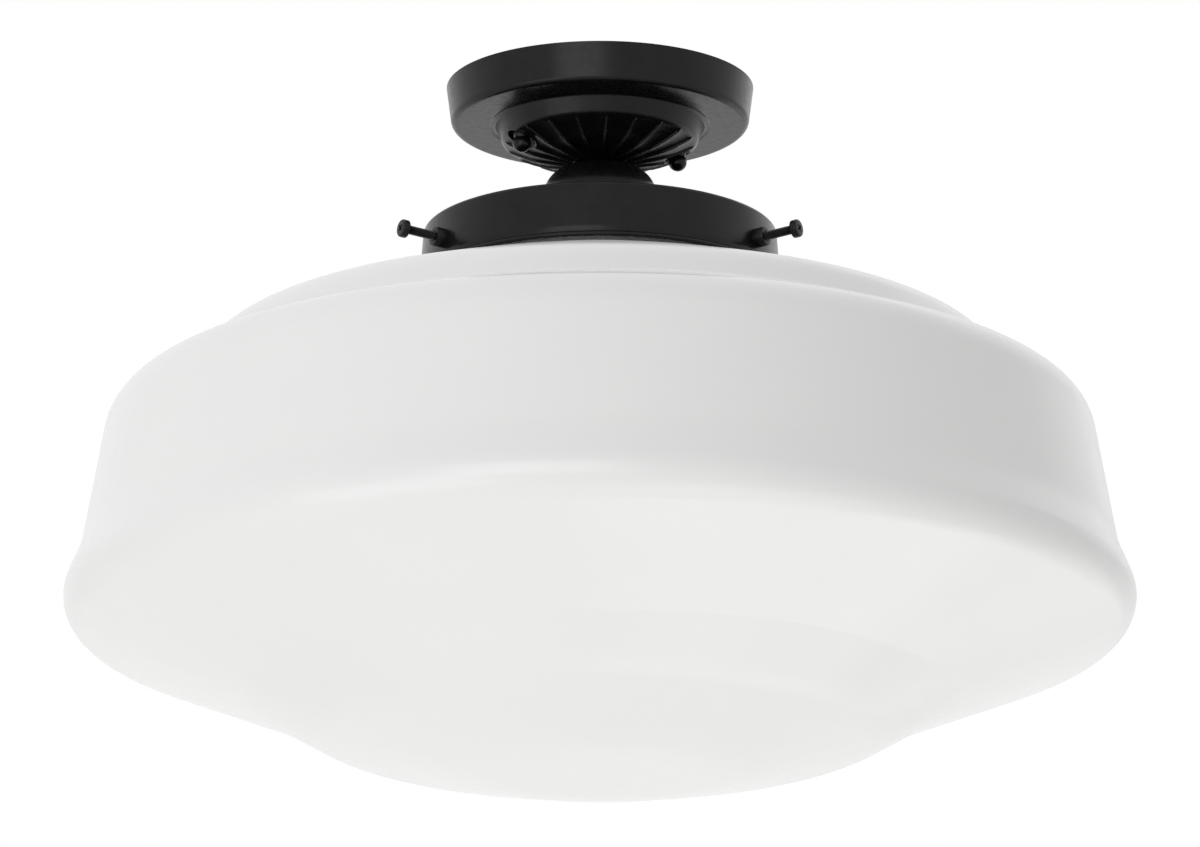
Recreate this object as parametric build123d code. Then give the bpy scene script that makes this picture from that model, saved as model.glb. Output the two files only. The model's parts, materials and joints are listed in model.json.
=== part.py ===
from build123d import *
import math
import os

# Semi flush ceiling light: a mounting bar on the ceiling box carries a round pressed canopy
# on two studs with ball nuts. A threaded tube hangs a socket cup and a round shade holder
# under the canopy, with a porcelain lampholder inside, and three side screws in the holder
# grip the lip of a wide stepped opal glass shade.
#
# Frame: millimetres, +Z up, origin in the ceiling plane on the axis of the light.
# The mounting bar lies along X. Everything hangs below z = 0.

# ---------------------------------------------------------------- driving dimensions

# Mounting bar and what is fastened to it
BAR_LENGTH = 106.0
BAR_WIDTH = 20.0
BAR_THICKNESS = 2.5
BAR_END_RADIUS = 4.0
BOX_SLOT_SPACING = 88.9
BOX_SLOT_WIDTH = 4.8
BOX_SLOT_LENGTH = 8.0
BAR_CENTRE_HOLE_DIAMETER = 11.0
STUD_SPACING = 73.0
STUD_DIAMETER = 4.1
STUD_BELOW_CANOPY = 6.4
STUD_NUT_ACROSS_FLATS = 8.7
STUD_NUT_HEIGHT = 3.2
GROUND_SCREW_X = 20.0
GROUND_SCREW_DIAMETER = 4.8
GROUND_SCREW_LENGTH = 8.0
GROUND_HEAD_ACROSS_FLATS = 7.9
GROUND_HEAD_HEIGHT = 3.6
GROUND_WASHER_DIAMETER = 10.4
GROUND_WASHER_THICKNESS = 0.9

# Canopy: a pressed pan with a flat ring and a fluted bowl that hangs down to the centre
CANOPY_DIAMETER = 133.4
CANOPY_SHEET = 1.0
CANOPY_PAN_DEPTH = 17.0
CANOPY_WALL_TAPER = 2.2
CANOPY_EDGE_RADIUS = 2.8
CANOPY_GROOVE_OUTER_RADIUS = 48.0
CANOPY_GROOVE_RADIUS = 45.8
CANOPY_GROOVE_DEPTH = 0.7
CANOPY_SHOULDER_RADIUS = 42.4
CANOPY_SHOULDER_DROP = 7.6
CANOPY_BELLY_RADIUS = 30.0
CANOPY_BELLY_DROP = 13.3
CANOPY_TIP_RADIUS = 11.0
CANOPY_TIP_DROP = 17.6
CANOPY_GROOVE_ROUND = 1.6
CANOPY_SHOULDER_ROUND = 4.0
CANOPY_BELLY_ROUND = 40.0
CANOPY_TIP_ROUND = 1.6
FLUTE_COUNT = 20
FLUTE_WIDTH = 0.9
FLUTE_HEIGHT = 0.7
FLUTE_INNER_RADIUS = 12.5
FLUTE_OUTER_RADIUS = 41.0
NUT_SEAT_DIAMETER = 11.6
NUT_SEAT_DROP = 6.8
STUD_HOLE_CLEARANCE = 0.35

# Ball nuts under the canopy
BALL_DIAMETER = 8.0
BALL_COLLAR_DIAMETER = 7.4
BALL_COLLAR_HEIGHT = 2.4
BALL_NUT_BORE_DEPTH = 7.0
THREAD_CLEARANCE = 0.05

# Threaded tube with its nuts and washers
NIPPLE_DIAMETER = 10.3
NIPPLE_BORE = 7.4
NIPPLE_ABOVE_NUT = 2.0
LOCK_NUT_ACROSS_FLATS = 15.9
LOCK_NUT_HEIGHT = 3.8
LOCK_WASHER_DIAMETER = 16.8
LOCK_WASHER_THICKNESS = 1.1

# Socket cup between canopy and shade holder
CUP_DIAMETER = 50.0
CUP_HEIGHT = 31.0
CUP_WALL = 1.2
CUP_TOP_RADIUS = 9.5
CUP_DOME_RADIUS = 14.0
CUP_TOP_EDGE_RADIUS = 3.0

# Shade holder: a shallow cup, open below, whose wall flares a little
HOLDER_TOP_DIAMETER = 152.8
HOLDER_HEIGHT = 24.6
HOLDER_SHEET = 1.2
HOLDER_FLARE_ANGLE = 4.0
HOLDER_EDGE_RADIUS = 1.8
HOLDER_HEM_HEIGHT = 1.8
HOLDER_HEM_STANDOUT = 0.6
VENT_COUNT = 6
VENT_DIAMETER = 8.0
VENT_CIRCLE_RADIUS = 48.0

# Side screws of the holder, three, evenly spaced
SIDE_SCREW_COUNT = 3
FIRST_SCREW_AZIMUTH = 68.0
SCREW_ABOVE_RIM = 10.6
SCREW_DIAMETER = 4.0
SCREW_HEAD_DIAMETER = 7.8
SCREW_HEAD_HEIGHT = 3.2
SCREW_HEAD_STANDOUT = 18.0
SCREW_RECESS_LENGTH = 4.9
SCREW_RECESS_WIDTH = 1.15
SCREW_RECESS_DEPTH = 1.5
SCREW_PAD_LENGTH = 1.2
SCREW_PAD_GAP = 0.35
BOSS_DIAMETER = 8.4
BOSS_STANDOUT = 5.0

# Glass shade. Heights are below the holder's top face.
GLASS_WALL = 3.5
LIP_SIDE_CLEARANCE = 1.6
LIP_TOP_GAP = 0.4
LIP_EDGE_HEIGHT = 1.4
LIP_OVERHANG = 3.0
LIP_TAPER = 0.36
NECK_BASE_DEPTH = 24.4
CROWN_BREAK_RADIUS = 127.5
CROWN_BREAK_DEPTH = 42.0
CROWN_EDGE_RADIUS = 168.2
CROWN_EDGE_DEPTH = 55.2
STEP_RADIUS = 177.4
STEP_DEPTH = 69.4
SHOULDER_RADIUS = 210.6
SHOULDER_DEPTH = 81.0
WAIST_RADIUS = 222.0
WAIST_DEPTH = 146.2
RING_RADIUS = 233.5
RING_DEPTH = 173.3
DISH_TOP_RADIUS = 151.6
DISH_TOP_DEPTH = 206.4
DISH_EDGE_RADIUS = 120.6
DISH_EDGE_DEPTH = 224.3
DISH_DOME_RADIUS = 54.8
BOTTOM_DEPTH = 240.0
NECK_ROUND = 5.0
CROWN_ROUND = 90.0
CROWN_EDGE_ROUND = 22.0
STEP_ROUND = 4.0
SHOULDER_ROUND = 21.5
WAIST_ROUND = 36.0
RING_ROUND = 14.4
DISH_TOP_ROUND = 5.0
DISH_EDGE_ROUND = 48.0
DISH_DOME_ROUND = 121.0

# Porcelain lampholder
SOCKET_DIAMETER = 38.0
SOCKET_LENGTH = 46.0
SOCKET_WELL_DIAMETER = 24.0
SOCKET_WELL_DEPTH = 8.0
SOCKET_FLOOR = 5.0
SOCKET_BORE = 30.0
SOCKET_MOUTH_CHAMFER = 1.2
BRACKET_WIDTH = 14.0
BRACKET_THICKNESS = 1.5
BRACKET_HUB_DIAMETER = 15.0
BRACKET_HUB_HEIGHT = 5.5
HUB_GAP_BELOW_NUT = 1.0
BRACKET_SCREW_SPACING = 30.8
BRACKET_SCREW_DIAMETER = 3.4
BRACKET_SCREW_LENGTH = 8.0
BRACKET_SCREW_HEAD_DIAMETER = 6.2
BRACKET_SCREW_HEAD_HEIGHT = 1.9
SHELL_WALL = 0.5
SHELL_LENGTH = 25.0
SHELL_FLOOR_HOLE = 11.0
RIVET_DIAMETER = 2.6
RIVET_HEAD_DIAMETER = 3.4
RIVET_HEAD_HEIGHT = 0.8
SHELL_RIVET_RADIUS = 9.2
TAB_WIDTH = 4.4
TAB_THICKNESS = 0.8
CONTACT_STRIP = 0.6
CONTACT_WIDTH = 5.0
CONTACT_REACH = 6.5
CONTACT_RISE = 3.0
CONTACT_KNEE = 1.8
CONTACT_FOOT_MARGIN = 0.4

# Lamp with its screw base
LAMP_BASE_DIAMETER = 26.4
LAMP_FIT_CLEARANCE = 0.1
LAMP_CONTACT_GAP = 0.3
LAMP_BUTTON_DIAMETER = 8.6
LAMP_BUTTON_HEIGHT = 1.6
LAMP_CONE_HEIGHT = 3.4
LAMP_CONE_TOP_DIAMETER = 9.0
LAMP_CONE_BASE_DIAMETER = 24.0
LAMP_SHELL_LENGTH = 21.0
LAMP_SHELL_WALL = 0.4
LAMP_GLASS_WALL = 0.8
LAMP_NECK_DIAMETER = 25.2
LAMP_NECK_IN_BASE = 12.0
LAMP_NECK_BELOW_BASE = 12.0
LAMP_DIAMETER = 60.0
LAMP_GLASS_LENGTH = 95.0
LAMP_BELLY_CENTRE_HEIGHT = 48.6
LAMP_NECK_ROUND = 40.0
LAMP_SHOULDER_ROUND = 22.0
LAMP_BOTTOM_FLAT = 0.8
STEM_DIAMETER = 7.0
STEM_LENGTH = 44.0
FILAMENT_RADIUS = 9.0
FILAMENT_WIRE = 0.8

# Supply leads and their connectors
LEAD_DIAMETER = 2.6
LEAD_OFFSET = 2.1
CONNECTOR_LENGTH = 17.0
CONNECTOR_MOUTH_DIAMETER = 10.6
CONNECTOR_TIP_DIAMETER = 6.4
CONNECTOR_WALL = 1.4
CONNECTOR_OVERLAP = 9.0
LEAD_BEND_POINTS = [(-1.0, 20.0, -10.6), (19.0, 33.0, -9.0), (38.0, 24.0, -9.6)]
LEAD_TOP_Z = -17.5

# ---------------------------------------------------------------- levels along the axis

CANOPY_PAN_Z = -CANOPY_PAN_DEPTH
CANOPY_TIP_Z = CANOPY_PAN_Z - CANOPY_TIP_DROP
HOLDER_TOP_Z = CANOPY_TIP_Z - CUP_HEIGHT
HOLDER_RIM_Z = HOLDER_TOP_Z - HOLDER_HEIGHT
UPPER_WASHER_Z = CANOPY_TIP_Z + CANOPY_SHEET
UPPER_NUT_Z = UPPER_WASHER_Z + LOCK_WASHER_THICKNESS
NIPPLE_TOP_Z = UPPER_NUT_Z + LOCK_NUT_HEIGHT + NIPPLE_ABOVE_NUT
LOWER_WASHER_Z = HOLDER_TOP_Z - HOLDER_SHEET - LOCK_WASHER_THICKNESS
LOWER_NUT_Z = LOWER_WASHER_Z - LOCK_NUT_HEIGHT
HUB_TOP_Z = LOWER_NUT_Z - HUB_GAP_BELOW_NUT
SOCKET_TOP_Z = HUB_TOP_Z - BRACKET_HUB_HEIGHT - BRACKET_THICKNESS
NIPPLE_BOTTOM_Z = SOCKET_TOP_Z + BRACKET_THICKNESS / 2
WELL_FLOOR_Z = SOCKET_TOP_Z - SOCKET_WELL_DEPTH
CAVITY_TOP_Z = WELL_FLOOR_Z - SOCKET_FLOOR
SOCKET_BOTTOM_Z = SOCKET_TOP_Z - SOCKET_LENGTH
LAMP_TOP_Z = CAVITY_TOP_Z - CONTACT_STRIP - CONTACT_RISE - LAMP_CONTACT_GAP
LAMP_CONE_Z = LAMP_TOP_Z - LAMP_BUTTON_HEIGHT
LAMP_SHELL_TOP_Z = LAMP_CONE_Z - LAMP_CONE_HEIGHT
LAMP_SHELL_BOTTOM_Z = LAMP_SHELL_TOP_Z - LAMP_SHELL_LENGTH
LAMP_GLASS_TOP_Z = LAMP_SHELL_BOTTOM_Z + LAMP_NECK_IN_BASE

NIPPLE_RADIUS = NIPPLE_DIAMETER / 2
HOLDER_TOP_RADIUS = HOLDER_TOP_DIAMETER / 2
HOLDER_FLARE = math.tan(math.radians(HOLDER_FLARE_ANGLE))
LIP_RADIUS = HOLDER_TOP_RADIUS - HOLDER_SHEET - LIP_SIDE_CLEARANCE
NECK_RADIUS = LIP_RADIUS - LIP_OVERHANG
SCREW_Z = HOLDER_RIM_Z + SCREW_ABOVE_RIM
SCREW_WALL_RADIUS = HOLDER_TOP_RADIUS + (HOLDER_TOP_Z - SCREW_Z) * HOLDER_FLARE
NUT_SEAT_Z = CANOPY_PAN_Z - NUT_SEAT_DROP


# ---------------------------------------------------------------- shared shapes

def turned(points):
    """Solid of revolution about Z from (radius, height) corners."""
    return revolve(Plane.XZ * make_face(Polyline(*points, close=True)), Axis.Z)


def tube(outer_radius, inner_radius, bottom, top):
    """Upright ring with square edges."""
    return turned([(inner_radius, bottom), (outer_radius, bottom), (outer_radius, top), (inner_radius, top)])


def disc(radius, bottom, top, x=0.0, y=0.0):
    """Upright cylinder from bottom to top."""
    return Pos(x, y, (bottom + top) / 2) * Cylinder(radius, top - bottom)


def hex_nut(across_flats, hole_radius, bottom, top, x=0.0, y=0.0):
    """Hexagonal nut with its corners eased by a cone, as a real nut has."""
    corner_radius = across_flats / math.sqrt(3)
    height = top - bottom
    middle = (bottom + top) / 2
    block = Pos(x, y, middle) * extrude(RegularPolygon(corner_radius, 6), height / 2, both=True)
    ease = (corner_radius - across_flats / 2) * 0.6
    barrel = Pos(x, y, middle) * chamfer(Cylinder(corner_radius, height).edges(), ease * 0.5, ease)
    return (block & barrel) - disc(hole_radius, bottom - 1, top + 1, x, y)


def offset_corners(corners, distance):
    """Corners of the parallel outline, on the right-hand side of the path."""
    moved = []
    count = len(corners)
    for index, (radius, height) in enumerate(corners):
        normals = []
        for first in (index - 1, index):
            if 0 <= first < count - 1:
                run = corners[first + 1][0] - corners[first][0]
                rise = corners[first + 1][1] - corners[first][1]
                length = math.hypot(run, rise)
                normals.append((rise / length, -run / length))
        along_r = sum(n[0] for n in normals)
        along_z = sum(n[1] for n in normals)
        scale = distance * len(normals) / (along_r ** 2 + along_z ** 2)
        moved.append((radius + along_r * scale, height + along_z * scale))
    return moved


def offset_radii(corners, radii, distance):
    """Corner radii of the parallel outline: smaller round outer corners, larger in hollows."""
    moved = []
    for index, radius in enumerate(radii):
        before, corner, after = corners[index:index + 3]
        turn = (corner[0] - before[0]) * (after[1] - corner[1])
        turn -= (corner[1] - before[1]) * (after[0] - corner[0])
        moved.append(radius - distance if turn < 0 else radius + distance)
    return moved


def turned_sheet(corners, radii, thickness):
    """Turned shell of even thickness whose outer face follows rounded corners."""
    outer = FilletPolyline(*corners, radius=radii)
    inner_corners = offset_corners(corners, thickness)
    inner = FilletPolyline(*inner_corners, radius=offset_radii(corners, radii, thickness))
    start = Line(corners[0], inner_corners[0])
    end = Line(corners[-1], inner_corners[-1])
    return revolve(Plane.XZ * make_face([*outer.edges(), *inner.edges(), start, end]), Axis.Z)


# ---------------------------------------------------------------- on the ceiling box

def stud_places():
    """The two studs, left and right of the axis."""
    return [(-STUD_SPACING / 2, 0.0), (STUD_SPACING / 2, 0.0)]


def mounting_bar():
    outline = RectangleRounded(BAR_LENGTH, BAR_WIDTH, BAR_END_RADIUS)
    bar = Pos(0, 0, -BAR_THICKNESS) * extrude(outline, BAR_THICKNESS)
    bar -= disc(BAR_CENTRE_HOLE_DIAMETER / 2, -BAR_THICKNESS - 1, 1)
    for x, y in stud_places():
        bar -= disc(STUD_DIAMETER / 2, -BAR_THICKNESS - 1, 1, x, y)
    for side in (-1, 1):
        slot = SlotOverall(BOX_SLOT_LENGTH, BOX_SLOT_WIDTH)
        bar -= Pos(side * BOX_SLOT_SPACING / 2, 0, -BAR_THICKNESS) * extrude(slot, BAR_THICKNESS)
    return bar - disc(GROUND_SCREW_DIAMETER / 2, -BAR_THICKNESS - 1, 1, GROUND_SCREW_X)


def canopy_studs():
    bottom = NUT_SEAT_Z - STUD_BELOW_CANOPY
    return [disc(STUD_DIAMETER / 2, bottom, 0, x, y) for x, y in stud_places()]


def stud_nuts():
    top = -BAR_THICKNESS
    bottom = top - STUD_NUT_HEIGHT
    return [hex_nut(STUD_NUT_ACROSS_FLATS, STUD_DIAMETER / 2, bottom, top, x, y) for x, y in stud_places()]


def ground_screw():
    washer_bottom = -BAR_THICKNESS - GROUND_WASHER_THICKNESS
    head_bottom = washer_bottom - GROUND_HEAD_HEIGHT
    shank_top = washer_bottom + GROUND_SCREW_LENGTH
    shank = disc(GROUND_SCREW_DIAMETER / 2, washer_bottom, shank_top, GROUND_SCREW_X)
    washer = disc(GROUND_WASHER_DIAMETER / 2, washer_bottom, -BAR_THICKNESS, GROUND_SCREW_X)
    head = Pos(GROUND_SCREW_X, 0, head_bottom) * extrude(
        RegularPolygon(GROUND_HEAD_ACROSS_FLATS / math.sqrt(3), 6), GROUND_HEAD_HEIGHT)
    slot = Pos(GROUND_SCREW_X, 0, head_bottom) * Box(GROUND_HEAD_ACROSS_FLATS * 2, 1.0, 2.2)
    return shank + washer + head - slot


# ---------------------------------------------------------------- canopy

def canopy_corners():
    """Outer outline of the canopy from its rim at the ceiling to the centre hole."""
    rim = CANOPY_DIAMETER / 2
    return [
        (rim, 0.0),
        (rim - CANOPY_WALL_TAPER, CANOPY_PAN_Z),
        (CANOPY_GROOVE_OUTER_RADIUS, CANOPY_PAN_Z),
        (CANOPY_GROOVE_RADIUS, CANOPY_PAN_Z + CANOPY_GROOVE_DEPTH),
        (CANOPY_SHOULDER_RADIUS, CANOPY_PAN_Z - CANOPY_SHOULDER_DROP),
        (CANOPY_BELLY_RADIUS, CANOPY_PAN_Z - CANOPY_BELLY_DROP),
        (CANOPY_TIP_RADIUS, CANOPY_TIP_Z),
        (NIPPLE_RADIUS, CANOPY_TIP_Z),
    ]


def canopy_radii():
    """Rounds at the pan's edge, the groove, the bowl and its tip, in the order of the corners."""
    return [
        CANOPY_EDGE_RADIUS, CANOPY_GROOVE_ROUND, CANOPY_GROOVE_ROUND,
        CANOPY_SHOULDER_ROUND, CANOPY_BELLY_ROUND, CANOPY_TIP_ROUND,
    ]


def flute():
    """One narrow ridge that follows the bowl and is rooted in the middle of the sheet."""
    root_depth = CANOPY_SHEET / 2
    root = FilletPolyline(*offset_corners(canopy_corners(), root_depth),
                          radius=offset_radii(canopy_corners(), canopy_radii(), root_depth))
    crest = FilletPolyline(*offset_corners(canopy_corners(), -FLUTE_HEIGHT),
                           radius=offset_radii(canopy_corners(), canopy_radii(), -FLUTE_HEIGHT))
    start = Line(root @ 0, crest @ 0)
    end = Line(root @ 1, crest @ 1)
    band = make_face([*root.edges(), *crest.edges(), start, end])
    middle = Pos((FLUTE_INNER_RADIUS + FLUTE_OUTER_RADIUS) / 2, (CANOPY_PAN_Z + CANOPY_TIP_Z) / 2)
    band &= middle * Rectangle(FLUTE_OUTER_RADIUS - FLUTE_INNER_RADIUS, CANOPY_PAN_DEPTH + CANOPY_TIP_DROP)
    return extrude(Plane.XZ * band, FLUTE_WIDTH / 2, both=True)


def canopy_envelope():
    """Everything inside the canopy's outer face, used to end the nut pockets at that face."""
    outer = FilletPolyline(*canopy_corners(), radius=canopy_radii())
    close = Polyline(outer @ 1, (0, CANOPY_TIP_Z), (0, 0), outer @ 0)
    return revolve(Plane.XZ * make_face([*outer.edges(), *close.edges()]), Axis.Z)


def canopy():
    shell = turned_sheet(canopy_corners(), canopy_radii(), CANOPY_SHEET)
    ridge = flute()
    shell += [Rot(0, 0, index * 360 / FLUTE_COUNT) * ridge for index in range(FLUTE_COUNT)]
    envelope = canopy_envelope()
    pocket_radius = NUT_SEAT_DIAMETER / 2
    for x, y in stud_places():
        pocket = disc(pocket_radius + CANOPY_SHEET, CANOPY_TIP_Z, NUT_SEAT_Z + CANOPY_SHEET, x, y)
        shell += pocket & envelope
        shell -= disc(pocket_radius, CANOPY_TIP_Z, NUT_SEAT_Z, x, y)
        shell -= disc(STUD_DIAMETER / 2 + STUD_HOLE_CLEARANCE, NUT_SEAT_Z - 1, 0, x, y)
    return shell


def ball_nut(x, y):
    """Ball with a short collar that bears on the canopy, and a blind threaded hole."""
    ball_z = NUT_SEAT_Z - BALL_COLLAR_HEIGHT - BALL_DIAMETER * 0.36
    nut = Pos(x, y, ball_z) * Sphere(BALL_DIAMETER / 2)
    nut += disc(BALL_COLLAR_DIAMETER / 2, ball_z, NUT_SEAT_Z, x, y)
    bore_radius = STUD_DIAMETER / 2 + THREAD_CLEARANCE
    return nut - disc(bore_radius, NUT_SEAT_Z - BALL_NUT_BORE_DEPTH, NUT_SEAT_Z, x, y)


# ---------------------------------------------------------------- hanging tube, cup and holder

def nipple():
    return tube(NIPPLE_RADIUS, NIPPLE_BORE / 2, NIPPLE_BOTTOM_Z, NIPPLE_TOP_Z)


def lock_nuts():
    return [hex_nut(LOCK_NUT_ACROSS_FLATS, NIPPLE_RADIUS, bottom, bottom + LOCK_NUT_HEIGHT)
            for bottom in (LOWER_NUT_Z, UPPER_NUT_Z)]


def lock_washers():
    return [tube(LOCK_WASHER_DIAMETER / 2, NIPPLE_RADIUS, bottom, bottom + LOCK_WASHER_THICKNESS)
            for bottom in (LOWER_WASHER_Z, UPPER_WASHER_Z)]


def socket_cup():
    rim = CUP_DIAMETER / 2
    corners = [
        (rim, HOLDER_TOP_Z),
        (rim, CANOPY_TIP_Z - CUP_TOP_EDGE_RADIUS * 1.9),
        (CUP_TOP_RADIUS, CANOPY_TIP_Z),
        (NIPPLE_RADIUS, CANOPY_TIP_Z),
    ]
    corners = [(r, z) for r, z in reversed(corners)]
    return turned_sheet(corners, [CUP_TOP_EDGE_RADIUS, CUP_DOME_RADIUS], CUP_WALL)


def holder_envelope():
    """The space that the holder's outer face encloses, used to fit the bosses to the wall."""
    rim_radius = HOLDER_TOP_RADIUS + HOLDER_HEIGHT * HOLDER_FLARE
    wall = [(rim_radius, HOLDER_RIM_Z), (HOLDER_TOP_RADIUS, HOLDER_TOP_Z)]
    return turned([(0, HOLDER_RIM_Z), *wall, (0, HOLDER_TOP_Z)])


def screw_frames():
    """A plane for each side screw: origin on the wall, Z outward along the screw's axis."""
    planes = []
    for index in range(SIDE_SCREW_COUNT):
        azimuth = math.radians(FIRST_SCREW_AZIMUTH + index * 360 / SIDE_SCREW_COUNT)
        tilt = math.radians(HOLDER_FLARE_ANGLE)
        outward = (math.cos(azimuth) * math.cos(tilt), math.sin(azimuth) * math.cos(tilt), math.sin(tilt))
        sideways = (-math.sin(azimuth), math.cos(azimuth), 0)
        origin = (math.cos(azimuth) * SCREW_WALL_RADIUS, math.sin(azimuth) * SCREW_WALL_RADIUS, SCREW_Z)
        planes.append(Plane(origin=origin, x_dir=sideways, z_dir=outward))
    return planes


def along_screw(plane, radius, start, end):
    """Cylinder on a screw's axis between two distances out from the wall."""
    return plane * Pos(0, 0, (start + end) / 2) * Cylinder(radius, end - start)


def shade_holder():
    rim_radius = HOLDER_TOP_RADIUS + HOLDER_HEIGHT * HOLDER_FLARE
    corners = [(NIPPLE_RADIUS, HOLDER_TOP_Z), (HOLDER_TOP_RADIUS, HOLDER_TOP_Z), (rim_radius, HOLDER_RIM_Z)]
    holder = turned_sheet(corners, [HOLDER_EDGE_RADIUS], HOLDER_SHEET)
    hem_inner = rim_radius - HOLDER_HEM_HEIGHT * HOLDER_FLARE - HOLDER_SHEET / 2
    hem = tube(rim_radius + HOLDER_HEM_STANDOUT, hem_inner, HOLDER_RIM_Z, HOLDER_RIM_Z + HOLDER_HEM_HEIGHT)
    hem_edge = hem.edges().filter_by(GeomType.CIRCLE).sort_by(lambda edge: edge.radius)[-2:]
    holder += fillet(hem_edge, HOLDER_HEM_HEIGHT * 0.45)
    for index in range(VENT_COUNT):
        azimuth = math.radians(index * 360 / VENT_COUNT)
        x = VENT_CIRCLE_RADIUS * math.cos(azimuth)
        y = VENT_CIRCLE_RADIUS * math.sin(azimuth)
        holder -= disc(VENT_DIAMETER / 2, HOLDER_TOP_Z - HOLDER_SHEET - 1, HOLDER_TOP_Z + 1, x, y)
    for plane in screw_frames():
        holder -= along_screw(plane, SCREW_DIAMETER / 2 + THREAD_CLEARANCE, -8, 8)
    return holder


def holder_bosses():
    envelope = holder_envelope()
    bosses = []
    for plane in screw_frames():
        boss = along_screw(plane, BOSS_DIAMETER / 2, -2, BOSS_STANDOUT) - envelope
        bore_radius = SCREW_DIAMETER / 2 + THREAD_CLEARANCE
        bosses.append(boss - along_screw(plane, bore_radius, -8, BOSS_STANDOUT + 1))
    return bosses


# ---------------------------------------------------------------- side screws

def pad_face_distance():
    """How far the pad's face lies from the wall's outer face along the screw, negative inward."""
    tilt = math.radians(HOLDER_FLARE_ANGLE)
    lean = SCREW_DIAMETER / 2 * math.sin(tilt)
    return (NECK_RADIUS + SCREW_PAD_GAP + lean - SCREW_WALL_RADIUS) / math.cos(tilt)


def screw_pad(plane):
    start = pad_face_distance()
    return along_screw(plane, SCREW_DIAMETER / 2, start, start + SCREW_PAD_LENGTH)


def side_screw(plane):
    shank_start = pad_face_distance() + SCREW_PAD_LENGTH
    head_start = SCREW_HEAD_STANDOUT
    head_end = head_start + SCREW_HEAD_HEIGHT
    head = chamfer(Cylinder(SCREW_HEAD_DIAMETER / 2, SCREW_HEAD_HEIGHT).edges(), 0.5)
    screw = along_screw(plane, SCREW_DIAMETER / 2, shank_start, head_start)
    screw += plane * Pos(0, 0, (head_start + head_end) / 2) * head
    blade = Box(SCREW_RECESS_LENGTH, SCREW_RECESS_WIDTH, SCREW_RECESS_DEPTH * 2)
    for turn in (45, 135):
        screw -= plane * Pos(0, 0, head_end) * Rot(0, 0, turn) * blade
    return screw


# ---------------------------------------------------------------- glass shade

def glass_shade():
    lip_top = HOLDER_SHEET + LIP_TOP_GAP
    taper_start = lip_top + LIP_EDGE_HEIGHT
    taper_end = taper_start + (LIP_RADIUS - NECK_RADIUS) / LIP_TAPER
    depths = [
        (LIP_RADIUS, lip_top),
        (LIP_RADIUS, taper_start),
        (NECK_RADIUS, taper_end),
        (NECK_RADIUS, NECK_BASE_DEPTH),
        (CROWN_BREAK_RADIUS, CROWN_BREAK_DEPTH),
        (CROWN_EDGE_RADIUS, CROWN_EDGE_DEPTH),
        (STEP_RADIUS, STEP_DEPTH),
        (SHOULDER_RADIUS, SHOULDER_DEPTH),
        (WAIST_RADIUS, WAIST_DEPTH),
        (RING_RADIUS, RING_DEPTH),
        (DISH_TOP_RADIUS, DISH_TOP_DEPTH),
        (DISH_EDGE_RADIUS, DISH_EDGE_DEPTH),
        (DISH_DOME_RADIUS, BOTTOM_DEPTH),
        (0.0, BOTTOM_DEPTH),
    ]
    radii = [
        GLASS_WALL + 0.6, 6.0, NECK_ROUND, CROWN_ROUND, CROWN_EDGE_ROUND, STEP_ROUND, SHOULDER_ROUND,
        WAIST_ROUND, RING_ROUND, DISH_TOP_ROUND, DISH_EDGE_ROUND, DISH_DOME_ROUND,
    ]
    corners = [(radius, HOLDER_TOP_Z - depth) for radius, depth in depths]
    return turned_sheet(corners, radii, GLASS_WALL)


# ---------------------------------------------------------------- lampholder

def bracket_screw_places():
    return [(0.0, -BRACKET_SCREW_SPACING / 2), (0.0, BRACKET_SCREW_SPACING / 2)]


def socket_bracket():
    strap_bottom = SOCKET_TOP_Z
    strap_top = strap_bottom + BRACKET_THICKNESS
    outline = RectangleRounded(BRACKET_WIDTH, SOCKET_DIAMETER - 1, BRACKET_WIDTH * 0.3)
    strap = Pos(0, 0, strap_bottom) * extrude(outline, BRACKET_THICKNESS)
    strap += disc(BRACKET_HUB_DIAMETER / 2, strap_top, HUB_TOP_Z)
    strap -= disc(NIPPLE_RADIUS, NIPPLE_BOTTOM_Z, HUB_TOP_Z)
    strap -= disc(NIPPLE_BORE / 2, strap_bottom - 1, HUB_TOP_Z)
    for x, y in bracket_screw_places():
        strap -= disc(BRACKET_SCREW_DIAMETER / 2, strap_bottom - 1, strap_top + 1, x, y)
    return strap


def bracket_screws():
    strap_top = SOCKET_TOP_Z + BRACKET_THICKNESS
    screws = []
    for x, y in bracket_screw_places():
        head_top = strap_top + BRACKET_SCREW_HEAD_HEIGHT
        screw = disc(BRACKET_SCREW_HEAD_DIAMETER / 2, strap_top, head_top, x, y)
        screw += disc(BRACKET_SCREW_DIAMETER / 2, strap_top - BRACKET_SCREW_LENGTH, strap_top, x, y)
        screws.append(screw - Pos(x, y, head_top) * Box(BRACKET_SCREW_HEAD_DIAMETER * 2, 0.8, 1.6))
    return screws


def rivet_places():
    return [(-SHELL_RIVET_RADIUS, 0.0), (SHELL_RIVET_RADIUS, 0.0)]


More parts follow.
